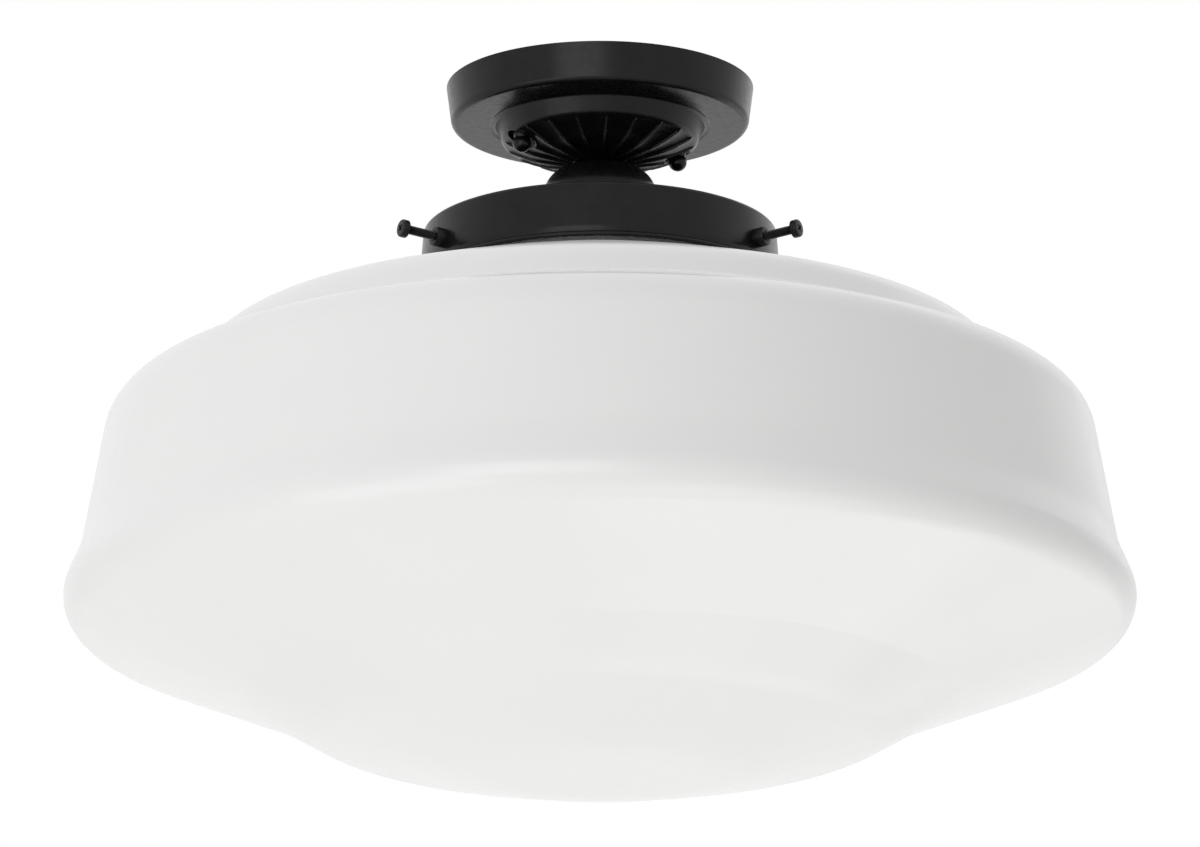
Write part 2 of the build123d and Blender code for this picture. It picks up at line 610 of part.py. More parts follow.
def socket_body():
    radius = SOCKET_DIAMETER / 2
    body = chamfer(Cylinder(radius, SOCKET_LENGTH).edges(), SOCKET_MOUTH_CHAMFER)
    body = Pos(0, 0, (SOCKET_TOP_Z + SOCKET_BOTTOM_Z) / 2) * body
    body -= disc(SOCKET_WELL_DIAMETER / 2, WELL_FLOOR_Z, SOCKET_TOP_Z + 1)
    body -= disc(SOCKET_BORE / 2, SOCKET_BOTTOM_Z - 1, CAVITY_TOP_Z)
    for x, y in bracket_screw_places():
        screw_bottom = SOCKET_TOP_Z + BRACKET_THICKNESS - BRACKET_SCREW_LENGTH
        body -= disc(BRACKET_SCREW_DIAMETER / 2, screw_bottom, SOCKET_TOP_Z + 1, x, y)
    for x, y in [*rivet_places(), (-LEAD_OFFSET, 0.0)]:
        body -= disc(RIVET_DIAMETER / 2, CAVITY_TOP_Z - 1, WELL_FLOOR_Z + 1, x, y)
    return body


def socket_shell():
    inner = LAMP_BASE_DIAMETER / 2 + LAMP_FIT_CLEARANCE
    outer = inner + SHELL_WALL
    floor_bottom = CAVITY_TOP_Z - SHELL_WALL
    shell = tube(outer, inner, CAVITY_TOP_Z - SHELL_LENGTH, CAVITY_TOP_Z)
    shell += tube(outer, SHELL_FLOOR_HOLE / 2, floor_bottom, CAVITY_TOP_Z)
    for x, y in rivet_places():
        shell -= disc(RIVET_DIAMETER / 2, floor_bottom - 1, CAVITY_TOP_Z + 1, x, y)
    return shell


def rivet(x, upper_seat, lower_seat):
    """Rivet with a flat head at each end, clamping from lower_seat up to upper_seat."""
    body = disc(RIVET_DIAMETER / 2, lower_seat, upper_seat, x)
    body += disc(RIVET_HEAD_DIAMETER / 2, upper_seat, upper_seat + RIVET_HEAD_HEIGHT, x)
    return body + disc(RIVET_HEAD_DIAMETER / 2, lower_seat - RIVET_HEAD_HEIGHT, lower_seat, x)


def shell_rivets():
    lower = CAVITY_TOP_Z - SHELL_WALL
    plain = rivet(-SHELL_RIVET_RADIUS, WELL_FLOOR_Z, lower)
    return [plain, rivet(SHELL_RIVET_RADIUS, WELL_FLOOR_Z + TAB_THICKNESS, lower)]


def contact_rivet():
    return rivet(-LEAD_OFFSET, WELL_FLOOR_Z, CAVITY_TOP_Z - CONTACT_STRIP)


def shell_tab():
    """Brass strip on the well's floor that joins the white lead to the shell's rivet."""
    start = LEAD_OFFSET - LEAD_DIAMETER / 2
    end = SHELL_RIVET_RADIUS + TAB_WIDTH / 2
    middle = Pos((start + end) / 2, 0, WELL_FLOOR_Z + TAB_THICKNESS / 2)
    tab = middle * Box(end - start, TAB_WIDTH, TAB_THICKNESS)
    return tab - disc(RIVET_DIAMETER / 2, WELL_FLOOR_Z - 1, WELL_FLOOR_Z + 2, SHELL_RIVET_RADIUS)


def contact_spring():
    """Springy strip: a foot under the rivet, a knee, and a tongue that meets the lamp."""
    foot_reach = RIVET_HEAD_DIAMETER / 2 + CONTACT_FOOT_MARGIN
    tongue_z = CAVITY_TOP_Z - CONTACT_STRIP - CONTACT_RISE
    corners = [
        (-LEAD_OFFSET - foot_reach, CAVITY_TOP_Z),
        (-LEAD_OFFSET + foot_reach, CAVITY_TOP_Z),
        (-LEAD_OFFSET + foot_reach + CONTACT_KNEE, (CAVITY_TOP_Z + tongue_z) / 2),
        (-LEAD_OFFSET + foot_reach, tongue_z),
        (-CONTACT_REACH / 2, tongue_z),
    ]
    outline = Polyline(*corners, *reversed(offset_corners(corners, CONTACT_STRIP)), close=True)
    spring = extrude(Plane.XZ * make_face(outline), CONTACT_WIDTH / 2, both=True)
    return spring - disc(RIVET_DIAMETER / 2, CAVITY_TOP_Z - CONTACT_STRIP, CAVITY_TOP_Z, -LEAD_OFFSET)


# ---------------------------------------------------------------- lamp

def lamp_contact():
    return disc(LAMP_BUTTON_DIAMETER / 2, LAMP_CONE_Z, LAMP_TOP_Z)


def lamp_insulator():
    base = LAMP_CONE_BASE_DIAMETER / 2
    top = LAMP_CONE_TOP_DIAMETER / 2
    return turned([(0, LAMP_SHELL_TOP_Z), (base, LAMP_SHELL_TOP_Z), (top, LAMP_CONE_Z), (0, LAMP_CONE_Z)])


def lamp_shell():
    outer = LAMP_BASE_DIAMETER / 2
    inner = outer - LAMP_SHELL_WALL
    shell = tube(outer, inner, LAMP_SHELL_BOTTOM_Z, LAMP_SHELL_TOP_Z)
    floor_inner = LAMP_CONE_BASE_DIAMETER / 2 - 1
    return shell + tube(outer, floor_inner, LAMP_SHELL_TOP_Z - LAMP_SHELL_WALL, LAMP_SHELL_TOP_Z)


def lamp_glass():
    neck = LAMP_NECK_DIAMETER / 2
    belly = LAMP_DIAMETER / 2
    bottom = LAMP_GLASS_TOP_Z - LAMP_GLASS_LENGTH
    corners = [
        (neck, LAMP_GLASS_TOP_Z),
        (neck, LAMP_SHELL_BOTTOM_Z - LAMP_NECK_BELOW_BASE),
        (belly, bottom + LAMP_BELLY_CENTRE_HEIGHT),
        (belly, bottom),
        (0.0, bottom),
    ]
    radii = [LAMP_NECK_ROUND, LAMP_SHOULDER_ROUND, belly - LAMP_BOTTOM_FLAT]
    return turned_sheet(corners, radii, LAMP_GLASS_WALL)


def lamp_stem():
    """Glass stem with a flare that is sealed to the inside of the neck."""
    neck = LAMP_NECK_DIAMETER / 2 - LAMP_GLASS_WALL
    top = LAMP_GLASS_TOP_Z
    stem = STEM_DIAMETER / 2
    bottom = top - STEM_LENGTH
    return turned([(0, top), (neck, top), (neck, top - 1), (stem, top - 9), (stem, bottom), (0, bottom)])


def lamp_filament():
    """Two support wires that leave the stem's end and carry a short coil between them."""
    top = LAMP_GLASS_TOP_Z - STEM_LENGTH
    low = top - FILAMENT_RADIUS
    half = STEM_DIAMETER / 2 - FILAMENT_WIRE
    out = top - FILAMENT_WIRE * 2
    corners = [(-half, 0, top), (-half, 0, out), (-FILAMENT_RADIUS, 0, low)]
    corners += [(-x, y, z) for x, y, z in reversed(corners)]
    path = FilletPolyline(*corners, radius=FILAMENT_WIRE)
    return sweep(Plane(path @ 0, z_dir=path % 0) * Circle(FILAMENT_WIRE / 2), path)


# ---------------------------------------------------------------- wiring

def lead_route(side):
    """Route of one lead from its terminal up the tube and round inside the canopy."""
    lower_end = WELL_FLOOR_Z + (RIVET_HEAD_HEIGHT if side < 0 else TAB_THICKNESS)
    points = [(side * LEAD_OFFSET, 0.0, lower_end), (side * LEAD_OFFSET, 0.0, LEAD_TOP_Z)]
    points += [(-side * x, -side * y, z) for x, y, z in LEAD_BEND_POINTS]
    return points


def bend_radii(points):
    """Largest bend at each inner point that its two runs leave room for."""
    radii = []
    for before, corner, after in zip(points, points[1:], points[2:]):
        first = Vector(*corner) - Vector(*before)
        second = Vector(*after) - Vector(*corner)
        turn = math.radians(first.get_angle(second))
        radii.append(0.45 * min(first.length, second.length) / math.tan(turn / 2))
    return radii


def lead(side):
    points = lead_route(side)
    path = FilletPolyline(*points, radius=bend_radii(points))
    return sweep(Plane(path @ 0, z_dir=path % 0) * Circle(LEAD_DIAMETER / 2), path)


def wire_connector(side):
    """Twist-on cap pushed over the end of a lead, hollow, with its tip closed."""
    points = lead_route(side)
    end = Vector(*points[-1])
    direction = (end - Vector(*points[-2])).normalized()
    mouth = CONNECTOR_MOUTH_DIAMETER / 2
    tip = CONNECTOR_TIP_DIAMETER / 2
    hole = LEAD_DIAMETER / 2
    outline = Polyline(
        (hole, 0), (mouth, 0), (mouth, CONNECTOR_LENGTH * 0.35), (tip, CONNECTOR_LENGTH),
        (0, CONNECTOR_LENGTH), (0, CONNECTOR_OVERLAP), (hole, CONNECTOR_OVERLAP), close=True)
    cap = revolve(Plane.XZ * make_face(outline), Axis.Z)
    return Plane(end - direction * CONNECTOR_OVERLAP, z_dir=direction) * cap


# ---------------------------------------------------------------- all pieces

def pieces():
    left, right = stud_places()
    table = {
        "mounting_bar": mounting_bar(),
        "canopy_studs": canopy_studs(),
        "stud_nuts": stud_nuts(),
        "ground_screw": ground_screw(),
        "canopy": canopy(),
        "ball_nut_left": ball_nut(*left),
        "ball_nut_right": ball_nut(*right),
        "nipple": nipple(),
        "lock_nuts": lock_nuts(),
        "lock_washers": lock_washers(),
        "socket_cup": socket_cup(),
        "shade_holder": shade_holder(),
        "holder_bosses": holder_bosses(),
        "glass_shade": glass_shade(),
        "socket_bracket": socket_bracket(),
        "bracket_screws": bracket_screws(),
        "socket_body": socket_body(),
        "socket_shell": socket_shell(),
        "shell_rivets": shell_rivets(),
        "shell_tab": shell_tab(),
        "contact_rivet": contact_rivet(),
        "contact_spring": contact_spring(),
        "lamp_contact": lamp_contact(),
        "lamp_insulator": lamp_insulator(),
        "lamp_shell": lamp_shell(),
        "lamp_glass": lamp_glass(),
        "lamp_stem": lamp_stem(),
        "lamp_filament": lamp_filament(),
        "lead_black": lead(-1),
        "lead_white": lead(1),
        "wire_connector_black": wire_connector(-1),
        "wire_connector_white": wire_connector(1),
    }
    for number, plane in enumerate(screw_frames(), start=1):
        table[f"side_screw_{number}"] = side_screw(plane)
        table[f"screw_pad_{number}"] = screw_pad(plane)
    return table


os.makedirs("parts", exist_ok=True)
for name, shape in pieces().items():
    solids = shape if isinstance(shape, list) else [shape]
    export_step(Compound(children=solids) if len(solids) > 1 else solids[0], f"parts/{name}.step")
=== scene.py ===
"""Semi flush ceiling light: the finished look of every piece, and the studio round it.

Lengths are in millimetres and become metres when a mesh is made. The origin lies in the
ceiling plane on the light's axis, +Z points up, and everything hangs below it.
"""

import json
import logging
import math
from dataclasses import dataclass, field
from enum import Enum
from typing import Iterable, Sequence

import bmesh
import bpy
from mathutils import Matrix, Vector

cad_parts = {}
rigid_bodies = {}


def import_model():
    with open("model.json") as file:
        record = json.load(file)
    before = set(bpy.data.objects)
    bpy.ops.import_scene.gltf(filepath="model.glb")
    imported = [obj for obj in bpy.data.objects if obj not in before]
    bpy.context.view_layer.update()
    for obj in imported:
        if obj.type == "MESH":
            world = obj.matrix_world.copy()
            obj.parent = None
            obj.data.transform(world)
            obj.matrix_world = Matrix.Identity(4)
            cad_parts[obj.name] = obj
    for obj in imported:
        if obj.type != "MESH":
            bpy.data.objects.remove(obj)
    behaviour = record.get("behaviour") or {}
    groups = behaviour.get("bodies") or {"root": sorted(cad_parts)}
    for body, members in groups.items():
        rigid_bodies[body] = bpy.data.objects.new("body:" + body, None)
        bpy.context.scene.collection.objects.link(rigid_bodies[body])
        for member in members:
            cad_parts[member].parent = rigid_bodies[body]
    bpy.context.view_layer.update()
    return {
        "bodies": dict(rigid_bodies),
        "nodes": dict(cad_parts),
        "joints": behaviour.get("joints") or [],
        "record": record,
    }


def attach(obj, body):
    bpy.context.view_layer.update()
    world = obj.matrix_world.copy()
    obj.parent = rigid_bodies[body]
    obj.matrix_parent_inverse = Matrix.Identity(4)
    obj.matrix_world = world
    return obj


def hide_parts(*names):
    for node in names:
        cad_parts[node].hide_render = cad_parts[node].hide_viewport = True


LOG = logging.getLogger("ceiling_light")
MM = 0.001

Point = tuple[float, float]
Colour = tuple[float, float, float]
Scale = tuple[float, float, float]
Node = bpy.types.Node
NodeTree = bpy.types.NodeTree
NodeSocket = bpy.types.NodeSocket
Piece = bpy.types.Object

# Values of a noise between which a finish goes from one of its limits to the other
NOISE_RANGE = (0.3, 0.7)
# Edges with a larger angle than this stay crisp unless a piece says otherwise, in degrees
SMOOTH_ANGLE = 32.0
# Softened edges of the solid pieces: gap that a seam may have, in metres, and least angle
SEAM_GAP = 1e-6
SOFTENED_ANGLE = 40.0


# ---------------------------------------------------------------- outlines and meshes

def smooth(share: float) -> float:
    """Soft step from 0 to 1 as share goes from 0 to 1."""
    share = min(max(share, 0.0), 1.0)
    return share * share * (3.0 - 2.0 * share)


def outward(azimuth: float, elevation: float) -> Vector:
    """Unit vector towards an azimuth and an elevation given in degrees."""
    turn, rise = math.radians(azimuth), math.radians(elevation)
    return Vector((math.cos(turn) * math.cos(rise), math.sin(turn) * math.cos(rise), math.sin(rise)))


@dataclass(frozen=True)
class RoundedOutline:
    """Open outline of (radius, height) corners with a round at each inner corner."""

    corners: tuple[Point, ...]
    rounds: tuple[float, ...]

    def points(self, step: float = 2.0, arc_step: float = 7.0) -> list[Point]:
        """Walks the outline from its first corner to its last.

        Args:
            step: Longest straight run between two points.
            arc_step: Largest turn between two points on a round, in degrees.

        Returns:
            The points, both ends included.
        """
        found = [Vector(self.corners[0])]
        for index, size in enumerate(self.rounds, start=1):
            before, corner, after = (Vector(c) for c in self.corners[index - 1:index + 2])
            arrive = (corner - before).normalized()
            leave = (after - corner).normalized()
            turn = math.atan2(arrive.x * leave.y - arrive.y * leave.x, arrive.dot(leave))
            cut = size * math.tan(abs(turn) / 2)
            start = corner - arrive * cut
            self._straight(found, start, step)
            side = Vector((-arrive.y, arrive.x)) * math.copysign(size, turn)
            centre = start + side
            pieces = max(2, math.ceil(math.degrees(abs(turn)) / arc_step))
            for piece in range(1, pieces + 1):
                angle = turn * piece / pieces
                spoke = -side
                found.append(centre + Vector((
                    spoke.x * math.cos(angle) - spoke.y * math.sin(angle),
                    spoke.x * math.sin(angle) + spoke.y * math.cos(angle))))
        self._straight(found, Vector(self.corners[-1]), step)
        return [(max(p.x, 0.0), p.y) for p in found]

    @staticmethod
    def _straight(found: list[Vector], end: Vector, step: float) -> None:
        """Adds evenly spaced points up to end."""
        start = found[-1]
        length = (end - start).length
        if length < 1e-6:
            return
        count = max(1, math.ceil(length / step))
        found.extend(start.lerp(end, piece / count) for piece in range(1, count + 1))

    def parallel(self, distance: float) -> "RoundedOutline":
        """The outline that runs beside this one, on its right-hand side.

        Args:
            distance: Gap between the two, negative for the left-hand side.

        Returns:
            An outline whose rounds share their centres with this one's.
        """
        moved = []
        for index, (radius, height) in enumerate(self.corners):
            normals = []
            for first in (index - 1, index):
                if 0 <= first < len(self.corners) - 1:
                    run = Vector(self.corners[first + 1]) - Vector(self.corners[first])
                    run.normalize()
                    normals.append(Vector((run.y, -run.x)))
            total = sum(normals, Vector((0.0, 0.0)))
            scale = distance * len(normals) / total.length_squared
            moved.append((radius + total.x * scale, height + total.y * scale))
        rounds = []
        for index, size in enumerate(self.rounds, start=1):
            before, corner, after = (Vector(c) for c in self.corners[index - 1:index + 2])
            turn = (corner - before).cross(after - corner)
            rounds.append(size - distance if turn < 0 else size + distance)
        return RoundedOutline(tuple(moved), tuple(rounds))


class Skin:
    """Vertices in millimetres and the faces between them, grown row by row."""

    def __init__(self) -> None:
        self.vertices: list[Vector] = []
        self.faces: list[tuple[int, ...]] = []

    def row(self, places: Iterable[Sequence[float]]) -> list[int]:
        """Adds a row of vertices and returns their numbers."""
        first = len(self.vertices)
        self.vertices.extend(Vector(place) for place in places)
        return list(range(first, len(self.vertices)))

    def ring(self, radius: float, height: float, segments: int) -> list[int]:
        """Adds a level circle, or a single vertex where the radius is nought."""
        if radius < 1e-6:
            return self.row([(0.0, 0.0, height)])
        turns = (math.tau * index / segments for index in range(segments))
        return self.row((radius * math.cos(t), radius * math.sin(t), height) for t in turns)

    def bridge(self, before: list[int], after: list[int]) -> None:
        """Joins two closed rows with quads, or with a fan where one is a single vertex."""
        count = max(len(before), len(after))
        if count == 1:
            return
        for index in range(count):
            following = (index + 1) % count
            if len(before) == 1:
                self.faces.append((before[0], after[following], after[index]))
            elif len(after) == 1:
                self.faces.append((before[index], before[following], after[0]))
            else:
                self.faces.append((before[index], before[following], after[following], after[index]))

    def add(self, other: "Skin", place: Matrix) -> None:
        """Takes in another skin, moved to its place."""
        first = len(self.vertices)
        self.vertices.extend(place @ vertex for vertex in other.vertices)
        self.faces.extend(tuple(number + first for number in face) for face in other.faces)

    def join(self, rows: list[list[int]], closed: bool = False) -> "Skin":
        """Bridges all rows in turn, and the last one to the first if it is closed."""
        for before, after in zip(rows, rows[1:]):
            self.bridge(before, after)
        if closed:
            self.bridge(rows[-1], rows[0])
        return self

    def mesh(self, name: str, place: Matrix, sharp: float) -> bpy.types.Mesh:
        """Makes the mesh in metres.

        Args:
            name: Name of the mesh.
            place: Where the skin's own frame lies, in millimetres.
            sharp: Edges with a larger angle than this stay crisp, in degrees.

        Returns:
            A smooth mesh with its faces turned outward.
        """
        mesh = bpy.data.meshes.new(name)
        mesh.from_pydata([place @ vertex * MM for vertex in self.vertices], [], self.faces)
        working = bmesh.new()
        working.from_mesh(mesh)
        bmesh.ops.recalc_face_normals(working, faces=working.faces)
        working.to_mesh(mesh)
        working.free()
        mesh.polygons.foreach_set("use_smooth", [True] * len(mesh.polygons))
        mesh.set_sharp_from_angle(angle=math.radians(sharp))
        return mesh


def turned(points: Sequence[Point], segments: int = 96, closed: bool = True) -> Skin:
    """Turns an outline about the Z axis.

    Args:
        points: Radius and height of each point.
        segments: Number of steps round the axis.
        closed: Whether the last point joins the first.

    Returns:
        The turned skin.
    """
    skin = Skin()
    return skin.join([skin.ring(radius, height, segments) for radius, height in points], closed)


def turned_sheet(outline: RoundedOutline, sheet: float, segments: int, step: float = 2.0) -> Skin:
    """Turned shell of even thickness whose outer face follows the outline."""
    outer = outline.points(step)
    inner = outline.parallel(sheet).points(step * 1.5)
    return turned(outer + inner[::-1], segments)


@dataclass(frozen=True)
class Thread:
    """Right-hand screw thread, rolled or cut, on a straight core."""

    radius: float
    pitch: float
    depth: float
    rolled: bool = False

    def radius_at(self, height: float, turn: float) -> float:
        """Radius of the thread's surface.

        Args:
            height: Place along the axis.
            turn: Place round the axis, from 0 to 1.

        Returns:
            The distance from the axis.
        """
        phase = (height / self.pitch - turn) % 1.0
        if self.rolled:
            return self.radius - self.depth * (0.5 - 0.5 * math.cos(math.tau * phase))
        flank = min(max(abs(2.0 * phase - 1.0) * 1.25 - 0.12, 0.0), 1.0)
        return self.radius - self.depth * flank

    def rows(self, skin: Skin, start: float, end: float, segments: int, per_pitch: int = 6,
             ease: float = 0.0) -> list[list[int]]:
        """Adds the thread's rows to a skin.

        Args:
            skin: The skin that takes the vertices.
            start: First height.
            end: Last height.
            segments: Steps round the axis.
            per_pitch: Rows in each turn of the thread.
            ease: Height over which both ends run down to the core.

        Returns:
            The rows from start to end.
        """
        count = max(2, math.ceil(abs(end - start) / self.pitch * per_pitch))
        made = []
        for step in range(count + 1):
            height = start + (end - start) * step / count
            near = min(abs(height - start), abs(height - end))
            cap = self.radius - max(0.0, ease - near)
            turns = [index / segments for index in range(segments)]
            made.append(skin.row(
                (min(self.radius_at(height, t), cap) * math.cos(math.tau * t),
                 min(self.radius_at(height, t), cap) * math.sin(math.tau * t), height)
                for t in turns))
        return made

    def rod(self, start: float, end: float, segments: int = 32) -> Skin:
        """Solid threaded rod with eased ends."""
        skin = Skin()
        rows = self.rows(skin, start, end, segments, ease=self.depth)
        return skin.join([skin.row([(0, 0, start)])] + rows + [skin.row([(0, 0, end)])])


# ---------------------------------------------------------------- finishes

class Slot(Enum):
    """Material slots of the record."""

    BLACK_STEEL = "black_steel"
    ZINC_STEEL = "zinc_steel"
    GREEN_SCREW = "green_screw"
    BRASS = "brass"
    OPAL_GLASS = "opal_glass"
    PORCELAIN = "porcelain"
    ALUMINIUM = "aluminium"
    NYLON = "nylon"
    LAMP_GLASS = "lamp_glass"
    CLEAR_GLASS = "clear_glass"
    BLACK_GLASS = "black_glass"
    TUNGSTEN = "tungsten"
    BLACK_CABLE = "black_cable"
    WHITE_CABLE = "white_cable"
    ORANGE_PLASTIC = "orange_plastic"


def new_material(name: str) -> tuple[bpy.types.Material, NodeTree, Node]:
    """A node material with its tree and its principled shader."""
    made = bpy.data.materials.new(name)
    made.use_nodes = True
    shader = next(node for node in made.node_tree.nodes if node.type == "BSDF_PRINCIPLED")
    return made, made.node_tree, shader


def mottle(tree: NodeTree, shader: Node, noise: Node,
           colours: tuple[Colour, Colour], ends: Point = (0.0, 1.0)) -> None:
    """Varies a shader's base colour between two shades.

    Args:
        tree: Node tree of the material.
        shader: The shader that takes the colour.
        noise: Noise that chooses between the shades.
        colours: The two shades.
        ends: Values of the noise where each shade is reached.
    """
    ramp = tree.nodes.new("ShaderNodeValToRGB")
    for element, colour, end in zip(ramp.color_ramp.elements, colours, ends):
        element.position = end
        element.color = (*colour, 1.0)
    tree.links.new(noise.outputs["Fac"], ramp.inputs["Fac"])
    tree.links.new(ramp.outputs["Color"], shader.inputs["Base Color"])


@dataclass(frozen=True)
class Finish:
    """How one material looks: its colours, its gloss and the relief of its surface."""

    slot: Slot
    dark: Colour
    light: Colour
    rough: tuple[float, float]
    patch: float = 6.0
    relief: float = 0.8
    relief_height: float = 0.004
    stretch: Scale = (1.0, 1.0, 1.0)
    metallic: float = 0.0
    shader: dict[str, object] = field(default_factory=dict)

    def material(self) -> bpy.types.Material:
        """Builds the node material.

        Returns:
            A material whose colour, gloss and normals all vary with the place.
        """
        made, tree, shader = new_material(self.slot.value)
        shader.inputs["Metallic"].default_value = self.metallic
        for socket, value in self.shader.items():
            shader.inputs[socket].default_value = value
        place = tree.nodes.new("ShaderNodeTexCoord")
        grain = tree.nodes.new("ShaderNodeMapping")
        grain.inputs["Scale"].default_value = self.stretch
        tree.links.new(place.outputs["Object"], grain.inputs["Vector"])
        patches = self._noise(tree, grain, self.patch, 5.0)
        mottle(tree, shader, patches, (self.dark, self.light), NOISE_RANGE)
        self._gloss(tree, shader, self._noise(tree, grain, self.patch * 0.37, 3.0))
        self._relief(tree, shader, self._noise(tree, grain, self.relief, 2.0))
        return made

    @staticmethod
    def _noise(tree: NodeTree, grain: Node, size: float, detail: float) -> Node:
        """Noise whose spots are about the given size in millimetres."""
        noise = tree.nodes.new("ShaderNodeTexNoise")
        noise.inputs["Scale"].default_value = 1.0 / (size * MM)
        noise.inputs["Detail"].default_value = detail
        tree.links.new(grain.outputs["Vector"], noise.inputs["Vector"])
        return noise

    def _gloss(self, tree: NodeTree, shader: Node, noise: Node) -> None:
        """Lets the roughness wander between its two limits."""
        span = tree.nodes.new("ShaderNodeMapRange")
        sockets = ("From Min", "From Max", "To Min", "To Max")
        for socket, value in zip(sockets, NOISE_RANGE + self.rough):
            span.inputs[socket].default_value = value
        tree.links.new(noise.outputs["Fac"], span.inputs["Value"])
        tree.links.new(span.outputs["Result"], shader.inputs["Roughness"])

    def _relief(self, tree: NodeTree, shader: Node, noise: Node) -> None:
        """Gives the surface its fine unevenness."""
        bump = tree.nodes.new("ShaderNodeBump")
        bump.inputs["Strength"].default_value = 1.0
        bump.inputs["Distance"].default_value = self.relief_height * MM
        tree.links.new(noise.outputs["Fac"], bump.inputs["Height"])
        tree.links.new(bump.outputs["Normal"], shader.inputs["Normal"])


FINISHES: tuple[Finish, ...] = (
    Finish(Slot.BLACK_STEEL, (0.0036, 0.0033, 0.0038), (0.0078, 0.0071, 0.0080), (0.23, 0.31),
           patch=9.0, relief=0.7, relief_height=0.003, shader={"IOR": 1.30}),
    Finish(Slot.ZINC_STEEL, (0.42, 0.42, 0.41), (0.62, 0.62, 0.60), (0.28, 0.46),
           patch=5.0, relief=0.9, relief_height=0.006, metallic=1.0),
    Finish(Slot.GREEN_SCREW, (0.020, 0.16, 0.05), (0.05, 0.30, 0.11), (0.25, 0.40), patch=2.0, metallic=0.3),
    Finish(Slot.BRASS, (0.55, 0.37, 0.13), (0.76, 0.56, 0.26), (0.24, 0.40), patch=2.0, metallic=1.0),
    Finish(Slot.OPAL_GLASS, (0.884, 0.886, 0.881), (0.898, 0.899, 0.893), (0.23, 0.27),
           patch=60.0, relief=45.0, relief_height=0.012),
    Finish(Slot.PORCELAIN, (0.78, 0.77, 0.73), (0.86, 0.85, 0.82), (0.09, 0.18),
           patch=8.0, relief=3.0, relief_height=0.02, shader={"Coat Weight": 0.4}),
    Finish(Slot.ALUMINIUM, (0.66, 0.66, 0.65), (0.82, 0.82, 0.81), (0.26, 0.42),
           patch=2.5, stretch=(1.0, 1.0, 0.2), metallic=1.0),
    Finish(Slot.NYLON, (0.66, 0.64, 0.57), (0.80, 0.78, 0.72), (0.42, 0.58), patch=1.5),
    Finish(Slot.LAMP_GLASS, (0.84, 0.84, 0.82), (0.93, 0.93, 0.91), (0.42, 0.55),
           patch=10.0, relief=0.4, shader={"Transmission Weight": 0.35}),
    Finish(Slot.CLEAR_GLASS, (0.88, 0.92, 0.90), (0.95, 0.97, 0.96), (0.02, 0.06),
           patch=6.0, relief=5.0, shader={"Transmission Weight": 1.0, "IOR": 1.5}),
    Finish(Slot.BLACK_GLASS, (0.006, 0.006, 0.008), (0.02, 0.02, 0.024), (0.06, 0.16), patch=3.0, relief=2.5),
    Finish(Slot.TUNGSTEN, (0.16, 0.16, 0.17), (0.34, 0.34, 0.35), (0.30, 0.48), patch=0.8, metallic=1.0),
    Finish(Slot.BLACK_CABLE, (0.010, 0.010, 0.011), (0.03, 0.03, 0.031), (0.36, 0.52), patch=3.0),
    Finish(Slot.WHITE_CABLE, (0.68, 0.67, 0.64), (0.80, 0.79, 0.76), (0.36, 0.52), patch=3.0),
    Finish(Slot.ORANGE_PLASTIC, (0.62, 0.17, 0.02), (0.80, 0.27, 0.04), (0.28, 0.42), patch=3.0),
)


# ---------------------------------------------------------------- placing pieces

